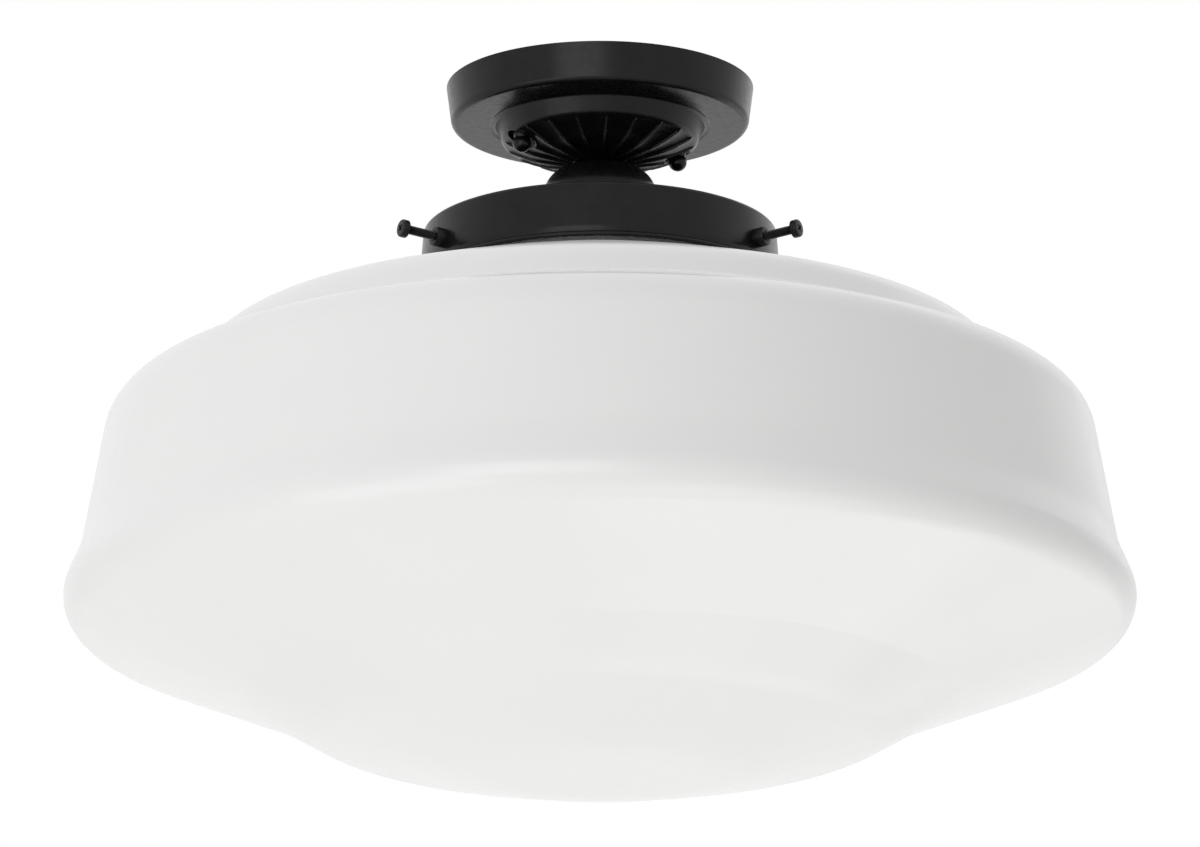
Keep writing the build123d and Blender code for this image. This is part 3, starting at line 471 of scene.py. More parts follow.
class Workshop:
    """Keeps the finishes and the solid model, and puts every piece in its place."""

    def __init__(self, frame: dict) -> None:
        self.nodes: dict[str, Piece] = frame["nodes"]
        bodies = frame["record"]["behaviour"]["bodies"]
        self.bodies = {node: body for body, members in bodies.items() for node in members}
        self.materials = {finish.slot: finish.material() for finish in FINISHES}

    def build(self, skin: Skin, node: str, slot: Slot, place: Matrix = Matrix(),
              sharp: float = SMOOTH_ANGLE,
              cutters: Sequence[Piece] = ()) -> Piece:
        """Makes the piece that stands for a node of the solid model.

        Args:
            skin: Its shape.
            node: Name of the node.
            slot: Its material slot.
            place: Frame of the skin, in millimetres.
            sharp: Largest angle that is shaded smooth, in degrees.
            cutters: Solids that are taken away from it.

        Returns:
            The new object, which moves with the node's body.
        """
        piece = bpy.data.objects.new(f"{node}_finished", skin.mesh(node, place, sharp))
        bpy.context.scene.collection.objects.link(piece)
        piece.data.materials.append(self.materials[slot])
        if cutters:
            self._cut(piece, cutters, sharp)
        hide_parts(node)
        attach(piece, self.bodies[node])
        LOG.info("built %s with %d faces", node, len(piece.data.polygons))
        return piece

    @staticmethod
    def merge(piece: Piece, skin: Skin, sharp: float) -> None:
        """Adds a skin to a piece that is already made.

        Args:
            piece: The piece that takes it.
            skin: The shape that is added, in the object's own frame.
            sharp: Largest angle that is shaded smooth, in degrees.
        """
        extra = skin.mesh("extra", Matrix(), sharp)
        working = bmesh.new()
        working.from_mesh(piece.data)
        working.from_mesh(extra)
        working.to_mesh(piece.data)
        working.free()
        bpy.data.meshes.remove(extra)
        piece.data.set_sharp_from_angle(angle=math.radians(sharp))

    @staticmethod
    def _cut(piece: Piece, cutters: Sequence[Piece], sharp: float) -> None:
        """Takes the cutters away from the piece and removes them from the scene."""
        for cutter in cutters:
            modifier = piece.modifiers.new(cutter.name, "BOOLEAN")
            modifier.object = cutter
            modifier.solver = "EXACT"
        graph = bpy.context.evaluated_depsgraph_get()
        result = bpy.data.meshes.new_from_object(piece.evaluated_get(graph))
        piece.modifiers.clear()
        piece.data = result
        result.set_sharp_from_angle(angle=math.radians(sharp))
        for cutter in cutters:
            bpy.data.objects.remove(cutter)

    @staticmethod
    def cutter(skin: Skin, name: str, place: Matrix = Matrix()) -> Piece:
        """A solid that is only there to be taken away from a piece."""
        solid = bpy.data.objects.new(name, skin.mesh(name, place, 30.0))
        bpy.context.scene.collection.objects.link(solid)
        return solid

    def drill(self, name: str, radius: float, ends: Point, segments: int,
              place: Matrix) -> Piece:
        """Makes a round cutter on the Z axis of its place.

        Args:
            name: Name of the cutter.
            radius: Its radius.
            ends: Heights of its lower and its upper end.
            segments: Steps round the axis.
            place: Where its own frame lies, in millimetres.

        Returns:
            The cutter.
        """
        low, high = ends
        section = [(0.0, low), (radius, low), (radius, high), (0.0, high)]
        return self.cutter(turned(section, segments, False), name, place)

    def dress(self, node: str, slot: Slot, ease: float = 0.0) -> None:
        """Gives a node of the solid model its finish and its softened edges.

        Args:
            node: Name of the node.
            slot: Its material slot.
            ease: Width of the softened edges, or 0 for none.
        """
        piece = self.nodes[node]
        piece.data.materials.clear()
        piece.data.materials.append(self.materials[slot])
        piece.data.polygons.foreach_set("use_smooth", [True] * len(piece.data.polygons))
        piece.data.set_sharp_from_angle(angle=math.radians(SMOOTH_ANGLE))
        if ease:
            weld = piece.modifiers.new("seams", "WELD")
            weld.merge_threshold = SEAM_GAP
            bevel = piece.modifiers.new("edges", "BEVEL")
            bevel.width = ease * MM
            bevel.segments = 2
            bevel.limit_method = "ANGLE"
            bevel.angle_limit = math.radians(SOFTENED_ANGLE)
        LOG.info("dressed %s", node)


def box(width: float, depth: float, height: float, taper: float = 1.0) -> Skin:
    """Upright block round the origin whose lower end may be narrower."""
    skin = Skin()
    rows = []
    for level, scale in ((-height / 2, taper), (height / 2, 1.0)):
        corners = ((-1, -1), (1, -1), (1, 1), (-1, 1))
        rows.append(skin.row((x * width * scale / 2, y * depth * scale / 2, level) for x, y in corners))
    skin.join(rows)
    skin.faces.extend(tuple(row) for row in rows)
    return skin


# ---------------------------------------------------------------- levels along the axis

@dataclass(frozen=True)
class Levels:
    """Heights on the light's axis where one sub-assembly meets the next."""

    nut_seat: float = -23.8
    tube_top: float = -26.7
    canopy_tip: float = -34.6
    holder_top: float = -65.6
    tube_bottom: float = -78.95
    screw: float = -79.6
    holder_rim: float = -90.2
    socket_floor: float = -92.7
    lamp_base_top: float = -101.6
    lamp_base_bottom: float = -122.6


LEVELS = Levels()


# ---------------------------------------------------------------- on the ceiling box

@dataclass(frozen=True)
class BarSize:
    """Studs that hang from the mounting bar."""

    stud_spacing: float = 73.0
    stud_below_seat: float = 6.4
    stud_top: float = -0.01
    stud_thread: Thread = Thread(2.05, 0.79375, 0.42)


@dataclass
class CeilingBar:
    """Mounting bar with its two threaded studs, their nuts and the green ground screw."""

    shop: Workshop
    size: BarSize = BarSize()

    def build(self) -> None:
        """Makes the threaded studs and dresses the rest."""
        studs = Skin()
        bottom = LEVELS.nut_seat - self.size.stud_below_seat
        for side in (-1, 1):
            rod = self.size.stud_thread.rod(bottom, self.size.stud_top, 28)
            studs.add(rod, Matrix.Translation((side * self.size.stud_spacing / 2, 0.0, 0.0)))
        self.shop.build(studs, "canopy_studs", Slot.ZINC_STEEL, sharp=60.0)
        self.shop.dress("mounting_bar", Slot.ZINC_STEEL, 0.3)
        self.shop.dress("stud_nuts", Slot.ZINC_STEEL, 0.15)
        self.shop.dress("ground_screw", Slot.GREEN_SCREW, 0.2)


# ---------------------------------------------------------------- canopy

@dataclass(frozen=True)
class CanopySize:
    """Pressed canopy: pan, groove, and a bowl with ridges and two pockets for the ball nuts."""

    outline: RoundedOutline = RoundedOutline(
        ((66.7, 0.0), (64.5, -17.0), (48.0, -17.0), (45.8, -16.3), (42.4, -24.6), (30.0, -30.3),
         (11.0, -34.6), (5.15, -34.6)),
        (2.8, 1.6, 1.6, 4.0, 40.0, 1.6))
    sheet: float = 1.0
    ridges: int = 20
    ridge_width: float = 0.9
    ridge_height: float = 0.7
    ridge_fade: Point = (1.6, 2.2)
    ridge_power: float = 2.4
    channel_depth: float = 0.55
    channel_power: float = 0.7
    channel_full_from: float = 24.0
    fluted: tuple[float, float] = (11.6, 41.6)
    pocket_radius: float = 5.8
    stud_hole: float = 2.4
    seat_x: float = 36.5


@dataclass
class Canopy:
    """Canopy whose bowl carries narrow raised ridges with hollow channels between them."""

    RIDGE_SHARES = (0.35, 0.7, 1.0)
    CHANNEL_SHARES = (0.1, 0.27, 0.48, 0.74)

    shop: Workshop
    size: CanopySize = CanopySize()

    def __post_init__(self) -> None:
        """Walks the outer face once."""
        self.face = self.size.outline.points(0.8, 8.0)

    def build(self) -> None:
        """Makes the canopy as one closed sheet, opened for the pockets that are set into it."""
        size = self.size
        skin = Skin()
        outer = []
        for index, (radius, height) in enumerate(self.face):
            before = Vector(self.face[max(index - 1, 0)])
            after = Vector(self.face[min(index + 1, len(self.face) - 1)])
            along = (after - before).normalized()
            outer.append(self._outer_row(skin, radius, height, Vector((-along.y, along.x))))
        inner_points = size.outline.parallel(size.sheet).points(3.0, 15.0)
        inner = [self._inner_row(skin, radius, height) for radius, height in inner_points[::-1]]
        skin.join(outer + inner, closed=True)
        edge = size.pocket_radius + size.sheet / 2
        ends = (LEVELS.canopy_tip - 2.0, LEVELS.nut_seat + size.sheet / 2)
        cutters = []
        pockets = Skin()
        for side in (-1, 1):
            place = Matrix.Translation((side * size.seat_x, 0.0, 0.0))
            cutters.append(self.shop.drill(f"pocket_{side + 1}", edge, ends, 64, place))
            self._pocket(pockets, side * size.seat_x)
        canopy = self.shop.build(skin, "canopy", Slot.BLACK_STEEL, sharp=50.0, cutters=cutters)
        self.shop.merge(canopy, pockets, 50.0)

    def _columns(self, radius: float) -> list[tuple[float, float, float]]:
        """Angle, distance from the ridge's middle and half pitch of each column at a radius."""
        half = self.size.ridge_width / 2
        middle = radius * math.pi / self.size.ridges
        half = min(half, middle * 0.6)
        outward = [share * half for share in self.RIDGE_SHARES]
        outward += [half + share * (middle - half) for share in self.CHANNEL_SHARES]
        offsets = [-away for away in reversed(outward)] + [0.0] + outward + [middle]
        columns = []
        for ridge in range(self.size.ridges):
            angle = ridge * math.tau / self.size.ridges
            columns.extend((angle + away / radius, abs(away), middle) for away in offsets)
        return columns

    def _rise(self, radius: float, away: float, middle: float) -> float:
        """How far the fluted face stands out from the plain bowl.

        Args:
            radius: Distance from the light's axis.
            away: Distance from the middle of the nearest ridge.
            middle: Half the distance from one ridge to the next.

        Returns:
            The rise, negative in a channel.
        """
        size = self.size
        fade = smooth((radius - size.fluted[0]) / size.ridge_fade[0])
        fade *= smooth((size.fluted[1] - radius) / size.ridge_fade[1])
        half = min(size.ridge_width / 2, middle * 0.6)
        if away <= half:
            share = 1.0 - (away / half) ** size.ridge_power
            return fade * size.ridge_height * share
        hollow = math.sin(math.pi / 2 * (away - half) / (middle - half)) ** size.channel_power
        return -fade * size.channel_depth * hollow * min(1.0, radius / size.channel_full_from)

    def _outer_row(self, skin: Skin, radius: float, height: float, normal: Vector) -> list[int]:
        """One row of the outer face, with its ridges and channels."""
        places = []
        for angle, away, middle in self._columns(radius):
            rise = self._rise(radius, away, middle)
            out = radius + normal.x * rise
            places.append((out * math.cos(angle), out * math.sin(angle), height + normal.y * rise))
        return skin.row(places)

    def _inner_row(self, skin: Skin, radius: float, height: float) -> list[int]:
        """One row of the plain inner face."""
        return skin.row((radius * math.cos(angle), radius * math.sin(angle), height)
                        for angle, _, _ in self._columns(radius))

    def _face_height(self, radius: float) -> float:
        """Height of the plain outer face at a distance from the light's axis."""
        for (wide, high), (narrow, low) in zip(self.face, self.face[1:]):
            if narrow <= radius <= wide:
                return high + (low - high) * (wide - radius) / max(wide - narrow, 1e-6)
        return LEVELS.canopy_tip

    def _pocket(self, skin: Skin, x: float) -> None:
        """Round pocket in which a ball nut bears, from its stud hole to its rim in the face.

        Args:
            skin: The skin that takes it.
            x: Where its axis lies.
        """
        size = self.size
        seat, wall = LEVELS.nut_seat, size.pocket_radius
        segments = 72
        shape = (
            (size.stud_hole, None, seat + size.sheet), (wall + size.sheet, None, seat + size.sheet),
            (wall + size.sheet, 0.3, seat + size.sheet - 0.05), (wall + 0.5, -0.05, seat + 0.3),
            (wall + 0.12, 0.10, seat - 0.2), (wall, 0.35, seat - 0.35), (wall, None, seat - 0.3),
            (wall - 0.3, None, seat), (size.stud_hole, None, seat))
        rows = []
        for radius, above_face, level in shape:
            places = []
            for index in range(segments):
                angle = math.tau * index / segments
                px, py = x + radius * math.cos(angle), radius * math.sin(angle)
                face = self._face_height(math.hypot(px, py))
                places.append((px, py, level if above_face is None else min(face + above_face, level)))
            rows.append(skin.row(places))
        skin.join(rows, closed=True)


# ---------------------------------------------------------------- ball nuts

@dataclass(frozen=True)
class BallNutSize:
    """Blind ball nut with a short collar."""

    ball: float = 4.0
    collar: float = 3.7
    collar_height: float = 2.4
    bore: float = 2.1
    bore_depth: float = 7.0


@dataclass
class BallNuts:
    """The two ball nuts that pull the canopy up to the ceiling."""

    shop: Workshop
    size: BallNutSize = BallNutSize()

    def outline(self) -> list[Point]:
        """Half section from the bore's floor, over the collar and round the ball."""
        size = self.size
        centre = -size.collar_height - size.ball * 0.72
        start = math.acos(min(1.0, (size.collar - 0.45) / size.ball))
        points = [(0.0, -size.bore_depth), (size.bore, -size.bore_depth), (size.bore, -0.4),
                  (size.bore + 0.3, -0.02), (size.collar - 0.35, -0.02), (size.collar - 0.08, -0.14),
                  (size.collar, -0.4), (size.collar, -size.collar_height + 0.75),
                  (size.collar - 0.12, -size.collar_height + 0.45)]
        steps = 22
        for step in range(steps + 1):
            angle = start - (start + math.pi / 2) * step / steps
            points.append((size.ball * math.cos(angle), centre + size.ball * math.sin(angle)))
        points[-1] = (0.0, centre - size.ball)
        return points

    def build(self, stud_spacing: float) -> None:
        """Makes both nuts.

        Args:
            stud_spacing: Distance between the two studs.
        """
        for side, name in ((-1, "ball_nut_left"), (1, "ball_nut_right")):
            place = Matrix.Translation((side * stud_spacing / 2, 0.0, LEVELS.nut_seat))
            self.shop.build(turned(self.outline(), 48, closed=False), name, Slot.BLACK_STEEL, place)


# ---------------------------------------------------------------- hanging tube

@dataclass(frozen=True)
class TubeSize:
    """Threaded tube on which everything under the canopy hangs."""

    thread: Thread = Thread(5.15, 0.9407, 0.5)
    bore: float = 3.7


@dataclass
class HangingTube:
    """Threaded tube with its lock nuts and washers."""

    shop: Workshop
    size: TubeSize = TubeSize()

    def build(self) -> None:
        """Makes the threaded tube and dresses nuts and washers."""
        skin = Skin()
        rows = self.size.thread.rows(skin, LEVELS.tube_bottom, LEVELS.tube_top, 40, ease=0.5)
        rows += [skin.ring(self.size.bore, height, 40) for height in (LEVELS.tube_top, LEVELS.tube_bottom)]
        self.shop.build(skin.join(rows, closed=True), "nipple", Slot.ZINC_STEEL, sharp=60.0)
        self.shop.dress("lock_nuts", Slot.ZINC_STEEL, 0.2)
        self.shop.dress("lock_washers", Slot.ZINC_STEEL, 0.15)


# ---------------------------------------------------------------- socket cup

@dataclass(frozen=True)
class CupSize:
    """Spun cup between canopy and shade holder."""

    outline: RoundedOutline = RoundedOutline(
        ((5.15, -34.6), (9.5, -34.6), (25.0, -40.3), (25.0, -65.6)), (3.0, 14.0))
    sheet: float = 1.2


@dataclass
class SocketCup:
    """Cup with a round shoulder that hides the tube."""

    shop: Workshop
    size: CupSize = CupSize()

    def build(self) -> None:
        """Makes the cup."""
        skin = turned_sheet(self.size.outline, self.size.sheet, 128, 1.5)
        self.shop.build(skin, "socket_cup", Slot.BLACK_STEEL, sharp=50.0)


# ---------------------------------------------------------------- shade holder

@dataclass(frozen=True)
class HolderSize:
    """Shallow holder with a rolled rim, vent holes and three threaded bosses."""

    top_radius: float = 76.4
    flare: float = 4.0
    sheet: float = 1.2
    edge_round: float = 1.8
    tube_radius: float = 5.15
    bead_height: float = 1.8
    bead_standout: float = 0.6
    vents: int = 6
    vent_radius: float = 4.0
    vent_circle: float = 48.0
    boss_radius: float = 4.2
    boss_standout: float = 5.0
    screw_hole: float = 2.05

    def wall_radius(self, level: float) -> float:
        """Outer radius of the wall at a height."""
        return self.top_radius + (LEVELS.holder_top - level) * math.tan(math.radians(self.flare))


@dataclass
class ShadeHolder:
    """Holder that carries the glass shade, with the bosses of its side screws."""

    shop: Workshop
    size: HolderSize = HolderSize()

    def screw_frames(self, first_azimuth: float = 68.0) -> list[Matrix]:
        """Frames on the wall with Z outward along each screw, in millimetres."""
        frames = []
        wall = self.size.wall_radius(LEVELS.screw)
        for index in range(3):
            bearing = first_azimuth + index * 120.0
            azimuth = math.radians(bearing)
            along = outward(bearing, self.size.flare)
            sideways = Vector((-math.sin(azimuth), math.cos(azimuth), 0.0))
            turn = Matrix((sideways, along.cross(sideways), along)).transposed().to_4x4()
            spot = Vector((math.cos(azimuth) * wall, math.sin(azimuth) * wall, LEVELS.screw))
            frames.append(Matrix.Translation(spot) @ turn)
        return frames

    def section(self) -> list[Point]:
        """Closed half section: top, wall, rolled rim and the inside."""
        size = self.size
        rim = size.wall_radius(LEVELS.holder_rim)
        neck = LEVELS.holder_rim + size.bead_height + 0.35
        outline = RoundedOutline(
            ((size.tube_radius, LEVELS.holder_top), (size.top_radius, LEVELS.holder_top),
             (size.wall_radius(neck), neck)), (size.edge_round,))
        points = outline.points(3.0)
        radius = size.bead_height / 2
        centre = (rim + size.bead_standout - radius, LEVELS.holder_rim + radius)
        points.append((rim - 0.35, neck - 0.22))
        for step in range(13):
            angle = math.radians(100.0 - 190.0 * step / 12)
            points.append((centre[0] + radius * math.cos(angle), centre[1] + radius * math.sin(angle)))
        inner = outline.parallel(size.sheet).points(4.0)
        points.append((inner[-1][0] + 0.25, LEVELS.holder_rim))
        points.extend(inner[::-1])
        return points

    def build(self) -> None:
        """Makes the holder with its vents and screw holes, and the three bosses."""
        size = self.size
        cutters = []
        for index in range(size.vents):
            azimuth = math.tau * index / size.vents
            spot = (size.vent_circle * math.cos(azimuth), size.vent_circle * math.sin(azimuth),
                    LEVELS.holder_top)
            place = Matrix.Translation(spot)
            cutters.append(self.shop.drill(f"vent_{index}", size.vent_radius, (-4.0, 4.0), 32, place))
        for index, place in enumerate(self.screw_frames()):
            name = f"screw_hole_{index}"
            cutters.append(self.shop.drill(name, size.screw_hole, (-6.0, 6.0), 24, place))
        shell = turned(self.section(), 192)
        self.shop.build(shell, "shade_holder", Slot.BLACK_STEEL, sharp=50.0, cutters=cutters)
        self._bosses()

    def _bosses(self) -> None:
        """Makes the three round bosses as one piece."""
        size = self.size
        start, end = -size.sheet * 0.6, size.boss_standout
        hole = size.screw_hole
        section = [(hole, start), (size.boss_radius, start), (size.boss_radius, end - 0.5),
                   (size.boss_radius - 0.14, end - 0.14), (size.boss_radius - 0.5, end),
                   (hole + 0.4, end), (hole, end - 0.4)]
        bosses = Skin()
        for place in self.screw_frames():
            bosses.add(turned(section, 48), place)
        self.shop.build(bosses, "holder_bosses", Slot.BLACK_STEEL)


# ---------------------------------------------------------------- side screws

@dataclass(frozen=True)
class SideScrewSize:
    """Side screw with a nylon pad; distances are along its axis from the holder's wall."""

    thread: Thread = Thread(2.0, 0.79375, 0.42)
    start: float = -5.105
    head_start: float = 18.0
    head_end: float = 21.2
    head_radius: float = 3.9
    recess_width: float = 1.15
    recess_length: float = 4.9
    recess_depth: float = 1.5


@dataclass
class SideScrews:
    """Three side screws that grip the glass lip through their nylon pads."""

    shop: Workshop
    frames: Sequence[Matrix]
    size: SideScrewSize = SideScrewSize()

    def skin(self) -> Skin:
        """Threaded shank that widens into a pan head."""
        size = self.size
        skin = Skin()
        segments = 40
        rows = [skin.row([(0.0, 0.0, size.start)])]
        rows += size.thread.rows(skin, size.start, size.head_start - 0.05, segments, ease=0.3)
        crown = 1.1
        head = RoundedOutline(
            ((size.thread.radius, size.head_start), (size.head_radius, size.head_start),
             (size.head_radius, size.head_end - crown * 0.25), (0.0, size.head_end + 0.02)), (0.25, 0.9))
        rows += [skin.ring(radius, min(height, size.head_end), segments)
                 for radius, height in head.points(0.5, 12.0)]
        return skin.join(rows)

    def build(self) -> None:
        """Makes the screws with a cross recess in each head, and dresses the pads."""
        size = self.size
        for number, place in enumerate(self.frames, start=1):
            cutters = []
            for turn in (40.0, 130.0):
                blade = box(size.recess_length, size.recess_width, size.recess_depth * 2, 0.5)
                raised = Matrix.Translation((0.0, 0.0, size.head_end))
                spot = raised @ Matrix.Rotation(math.radians(turn), 4, "Z")
                cutters.append(self.shop.cutter(blade, f"recess_{turn:.0f}", place @ spot))
            name = f"side_screw_{number}"
            self.shop.build(self.skin(), name, Slot.BLACK_STEEL, place, 40.0, cutters)
            self.shop.dress(f"screw_pad_{number}", Slot.NYLON, 0.15)


# ---------------------------------------------------------------- glass shade

@dataclass(frozen=True)
class ShadeSize:
    """Blown opal shade; depths are below the holder's top face."""

    depths: tuple[Point, ...] = (
        (73.6, 1.6), (73.6, 3.0), (70.6, 11.3333), (70.6, 24.4), (127.5, 42.0), (168.2, 55.2),
        (177.4, 69.4), (210.6, 81.0), (222.0, 146.2), (233.49, 173.3), (151.6, 206.4), (120.6, 224.3),
        (54.8, 240.0), (0.0, 240.0))
    rounds: tuple[float, ...] = (4.1, 6.0, 5.0, 90.0, 22.0, 4.0, 21.5, 36.0, 14.4, 5.0, 48.0, 121.0)
    wall: float = 3.5


@dataclass
class GlassShade:
    """Wide stepped shade of opal glass."""

    shop: Workshop
    size: ShadeSize = ShadeSize()

    def build(self) -> None:
        """Makes the shade with a fire-polished lip."""
        corners = tuple((radius, LEVELS.holder_top - depth) for radius, depth in self.size.depths)
        outline = RoundedOutline(corners, self.size.rounds)
        outer = outline.points(3.5, 3.0)
        inner = outline.parallel(self.size.wall).points(5.0, 5.0)
        lip = self._lip(outer[0], inner[0])
        glass = turned(lip + outer[1:] + inner[:0:-1], 256)
        self.shop.build(glass, "glass_shade", Slot.OPAL_GLASS, sharp=60.0)

    @staticmethod
    def _lip(outer: Point, inner: Point, ease: float = 0.9) -> list[Point]:
        """Rounded top edge between the inner and the outer face."""
        top = outer[1]
        cut = ease * 0.3
        return [(inner[0], top - ease), (inner[0] + cut, top - cut), (inner[0] + ease, top),
                (outer[0] - ease, top), (outer[0] - cut, top - cut), (outer[0], top - ease)]


# ---------------------------------------------------------------- lampholder

@dataclass(frozen=True)
class LampholderSize:
    """Screw shell of the lampholder."""

    thread: Thread = Thread(13.3, 3.6286, 0.75, rolled=True)
    sheet: float = 0.5
    length: float = 25.0
    floor_hole: float = 5.5
    rivet_circle: float = 9.2
    rivet_hole: float = 1.3


@dataclass
class Lampholder:
    """Porcelain lampholder under its steel bracket."""

    shop: Workshop
    size: LampholderSize = LampholderSize()

    def build(self) -> None:
        """Makes the rolled screw shell and dresses the other pieces."""
        size = self.size
        skin = Skin()
        top, bottom = LEVELS.socket_floor, LEVELS.socket_floor - size.length
        outside = Thread(size.thread.radius + size.sheet, size.thread.pitch, size.thread.depth, True)
        rows = outside.rows(skin, bottom, top - 1.0, 64, 10)
        rows += [skin.ring(size.thread.radius + size.sheet, top, 64), skin.ring(size.floor_hole, top, 64),
                 skin.ring(size.floor_hole, top - size.sheet, 64)]
        rows += size.thread.rows(skin, top - 1.0, bottom, 64, 10)
        cutters = []
        for side in (-1, 1):
            name = f"rivet_hole_{side + 1}"
            place = Matrix.Translation((side * size.rivet_circle, 0.0, top))
            cutters.append(self.shop.drill(name, size.rivet_hole, (-3.0, 3.0), 20, place))
        shell = skin.join(rows, closed=True)
        self.shop.build(shell, "socket_shell", Slot.ALUMINIUM, sharp=60.0, cutters=cutters)
        for node, slot, ease in (
                ("socket_body", Slot.PORCELAIN, 0.4), ("socket_bracket", Slot.ZINC_STEEL, 0.2),
                ("bracket_screws", Slot.ZINC_STEEL, 0.15), ("shell_rivets", Slot.BRASS, 0.1),
                ("shell_tab", Slot.BRASS, 0.1), ("contact_rivet", Slot.BRASS, 0.1),
                ("contact_spring", Slot.BRASS, 0.08)):
            self.shop.dress(node, slot, ease)


# ---------------------------------------------------------------- lamp

@dataclass(frozen=True)
class LampSize:
    """Plain lamp with a screw base."""

    thread: Thread = Thread(13.2, 3.6286, 0.75, rolled=True)
    sheet: float = 0.4
    base_floor: float = 11.0
    glass: RoundedOutline = RoundedOutline(
        ((12.6, -110.6), (12.6, -134.6), (30.0, -157.0), (30.0, -205.6), (0.0, -205.6)), (40.0, 22.0, 29.2))
    glass_wall: float = 0.8


@dataclass
class Lamp:
    """The lamp: frosted bulb, rolled aluminium base, contact, stem and filament."""

    shop: Workshop
    size: LampSize = LampSize()

    def build(self) -> None:
        """Makes base and bulb and dresses the rest."""
        size = self.size
        skin = Skin()
        top, bottom = LEVELS.lamp_base_top, LEVELS.lamp_base_bottom
        inside = Thread(size.thread.radius - size.sheet, size.thread.pitch, size.thread.depth * 0.4, True)
        rows = size.thread.rows(skin, bottom, top - 1.2, 64, 10)
        shoulder = ((size.thread.radius - 0.5, top - 0.2), (size.thread.radius - 1.0, top),
                    (size.base_floor, top), (size.base_floor, top - size.sheet))
        rows += [skin.ring(radius, height, 64) for radius, height in shoulder]
        rows += inside.rows(skin, top - 1.2, bottom, 64, 10)
        self.shop.build(skin.join(rows, closed=True), "lamp_shell", Slot.ALUMINIUM, sharp=60.0)
        bulb = turned_sheet(size.glass, size.glass_wall, 96, 2.5)
        self.shop.build(bulb, "lamp_glass", Slot.LAMP_GLASS, sharp=60.0)
        self.shop.dress("lamp_contact", Slot.ZINC_STEEL, 0.3)
        self.shop.dress("lamp_insulator", Slot.BLACK_GLASS)
        self.shop.dress("lamp_stem", Slot.CLEAR_GLASS)
        self.shop.dress("lamp_filament", Slot.TUNGSTEN)


# ---------------------------------------------------------------- wiring

@dataclass(frozen=True)
class ConnectorSize:
    """Twist-on connector with ribs that fingers can grip."""

    length: float = 17.0
    mouth: float = 5.3
    tip: float = 3.2
    skirt: float = 0.35
    overlap: float = 9.0
    hole: float = 1.3
    ribs: int = 14
    rib_depth: float = 0.4


@dataclass
class Wiring:
    """Two leads that come up the tube, each with its connector."""

    ENDS = {
        "black": ((19.0, 33.0, -9.0), (38.0, 24.0, -9.6)),
        "white": ((-19.0, -33.0, -9.0), (-38.0, -24.0, -9.6)),
    }

    shop: Workshop
    size: ConnectorSize = ConnectorSize()

    def _cap(self) -> Skin:
        """Ribbed cap with its mouth at the origin and its tip along Z."""
        size = self.size
        skin = Skin()
        segments = size.ribs * 6
        rows = [skin.ring(size.hole, size.overlap, segments), skin.ring(size.hole, 0.0, segments),
                skin.ring(size.mouth - 0.4, 0.0, segments)]
        for share in (0.02, 0.12, 0.25, 0.35, 0.38, 0.5, 0.65, 0.8, 0.92, 0.97, 1.0):
            taper = max(0.0, (share - size.skirt) / (1.0 - size.skirt))
            radius = size.mouth - (size.mouth - size.tip) * taper
            radius -= 0.7 * smooth((share - 0.9) / 0.1)
            depth = size.rib_depth * smooth((share - size.skirt) / 0.05) * smooth((1.0 - share) / 0.08)
            places = []
            for index in range(segments):
                angle = math.tau * index / segments
                out = radius - depth * (0.5 - 0.5 * math.cos(angle * size.ribs))
                places.append((out * math.cos(angle), out * math.sin(angle), share * size.length))
            rows.append(skin.row(places))
        rows.append(skin.row([(0.0, 0.0, size.length)]))
        return skin.join([skin.row([(0.0, 0.0, size.overlap)])] + rows)

    def build(self) -> None:
        """Makes the connectors and dresses the leads."""
        for colour, (before, end) in self.ENDS.items():
            along = (Vector(end) - Vector(before)).normalized()
            turn = Vector((0.0, 0.0, 1.0)).rotation_difference(along).to_matrix().to_4x4()
            place = Matrix.Translation(Vector(end) - along * self.size.overlap) @ turn
            self.shop.build(self._cap(), f"wire_connector_{colour}", Slot.ORANGE_PLASTIC, place, 50.0)
        self.shop.dress("lead_black", Slot.BLACK_CABLE)
        self.shop.dress("lead_white", Slot.WHITE_CABLE)


# ---------------------------------------------------------------- studio

def combine(tree: NodeTree, operation: str, first: NodeSocket,
            second: NodeSocket | float) -> NodeSocket:
    """Combines a socket with another socket or with a number.

    Args:
        tree: Node tree that takes the math node.
        operation: What the math node does.
        first: The first value.
        second: The second value.

    Returns:
        The socket of the result.
    """
    node = tree.nodes.new("ShaderNodeMath")
    node.operation = operation
    tree.links.new(first, node.inputs[0])
    if isinstance(second, float):
        node.inputs[1].default_value = second
    else:
        tree.links.new(second, node.inputs[1])
    return node.outputs["Value"]


@dataclass(frozen=True)
class Softbox:
    """Square light that faces the object from a direction seen from it."""

    name: str
    azimuth: float
    elevation: float
    distance: float
    width: float
    watts: float

    def build(self, target: Vector) -> None:
        """Puts the light in the scene, facing the target.

        Args:
            target: The point it faces, in metres.
        """
        away = outward(self.azimuth, self.elevation)
        data = bpy.data.lights.new(self.name, "AREA")
        data.shape = "SQUARE"
        data.size = self.width
        data.energy = self.watts
        light = bpy.data.objects.new(self.name, data)
        light.location = target + away * self.distance
        light.rotation_euler = away.to_track_quat("Z", "Y").to_euler()
        light.visible_camera = False
        bpy.context.scene.collection.objects.link(light)


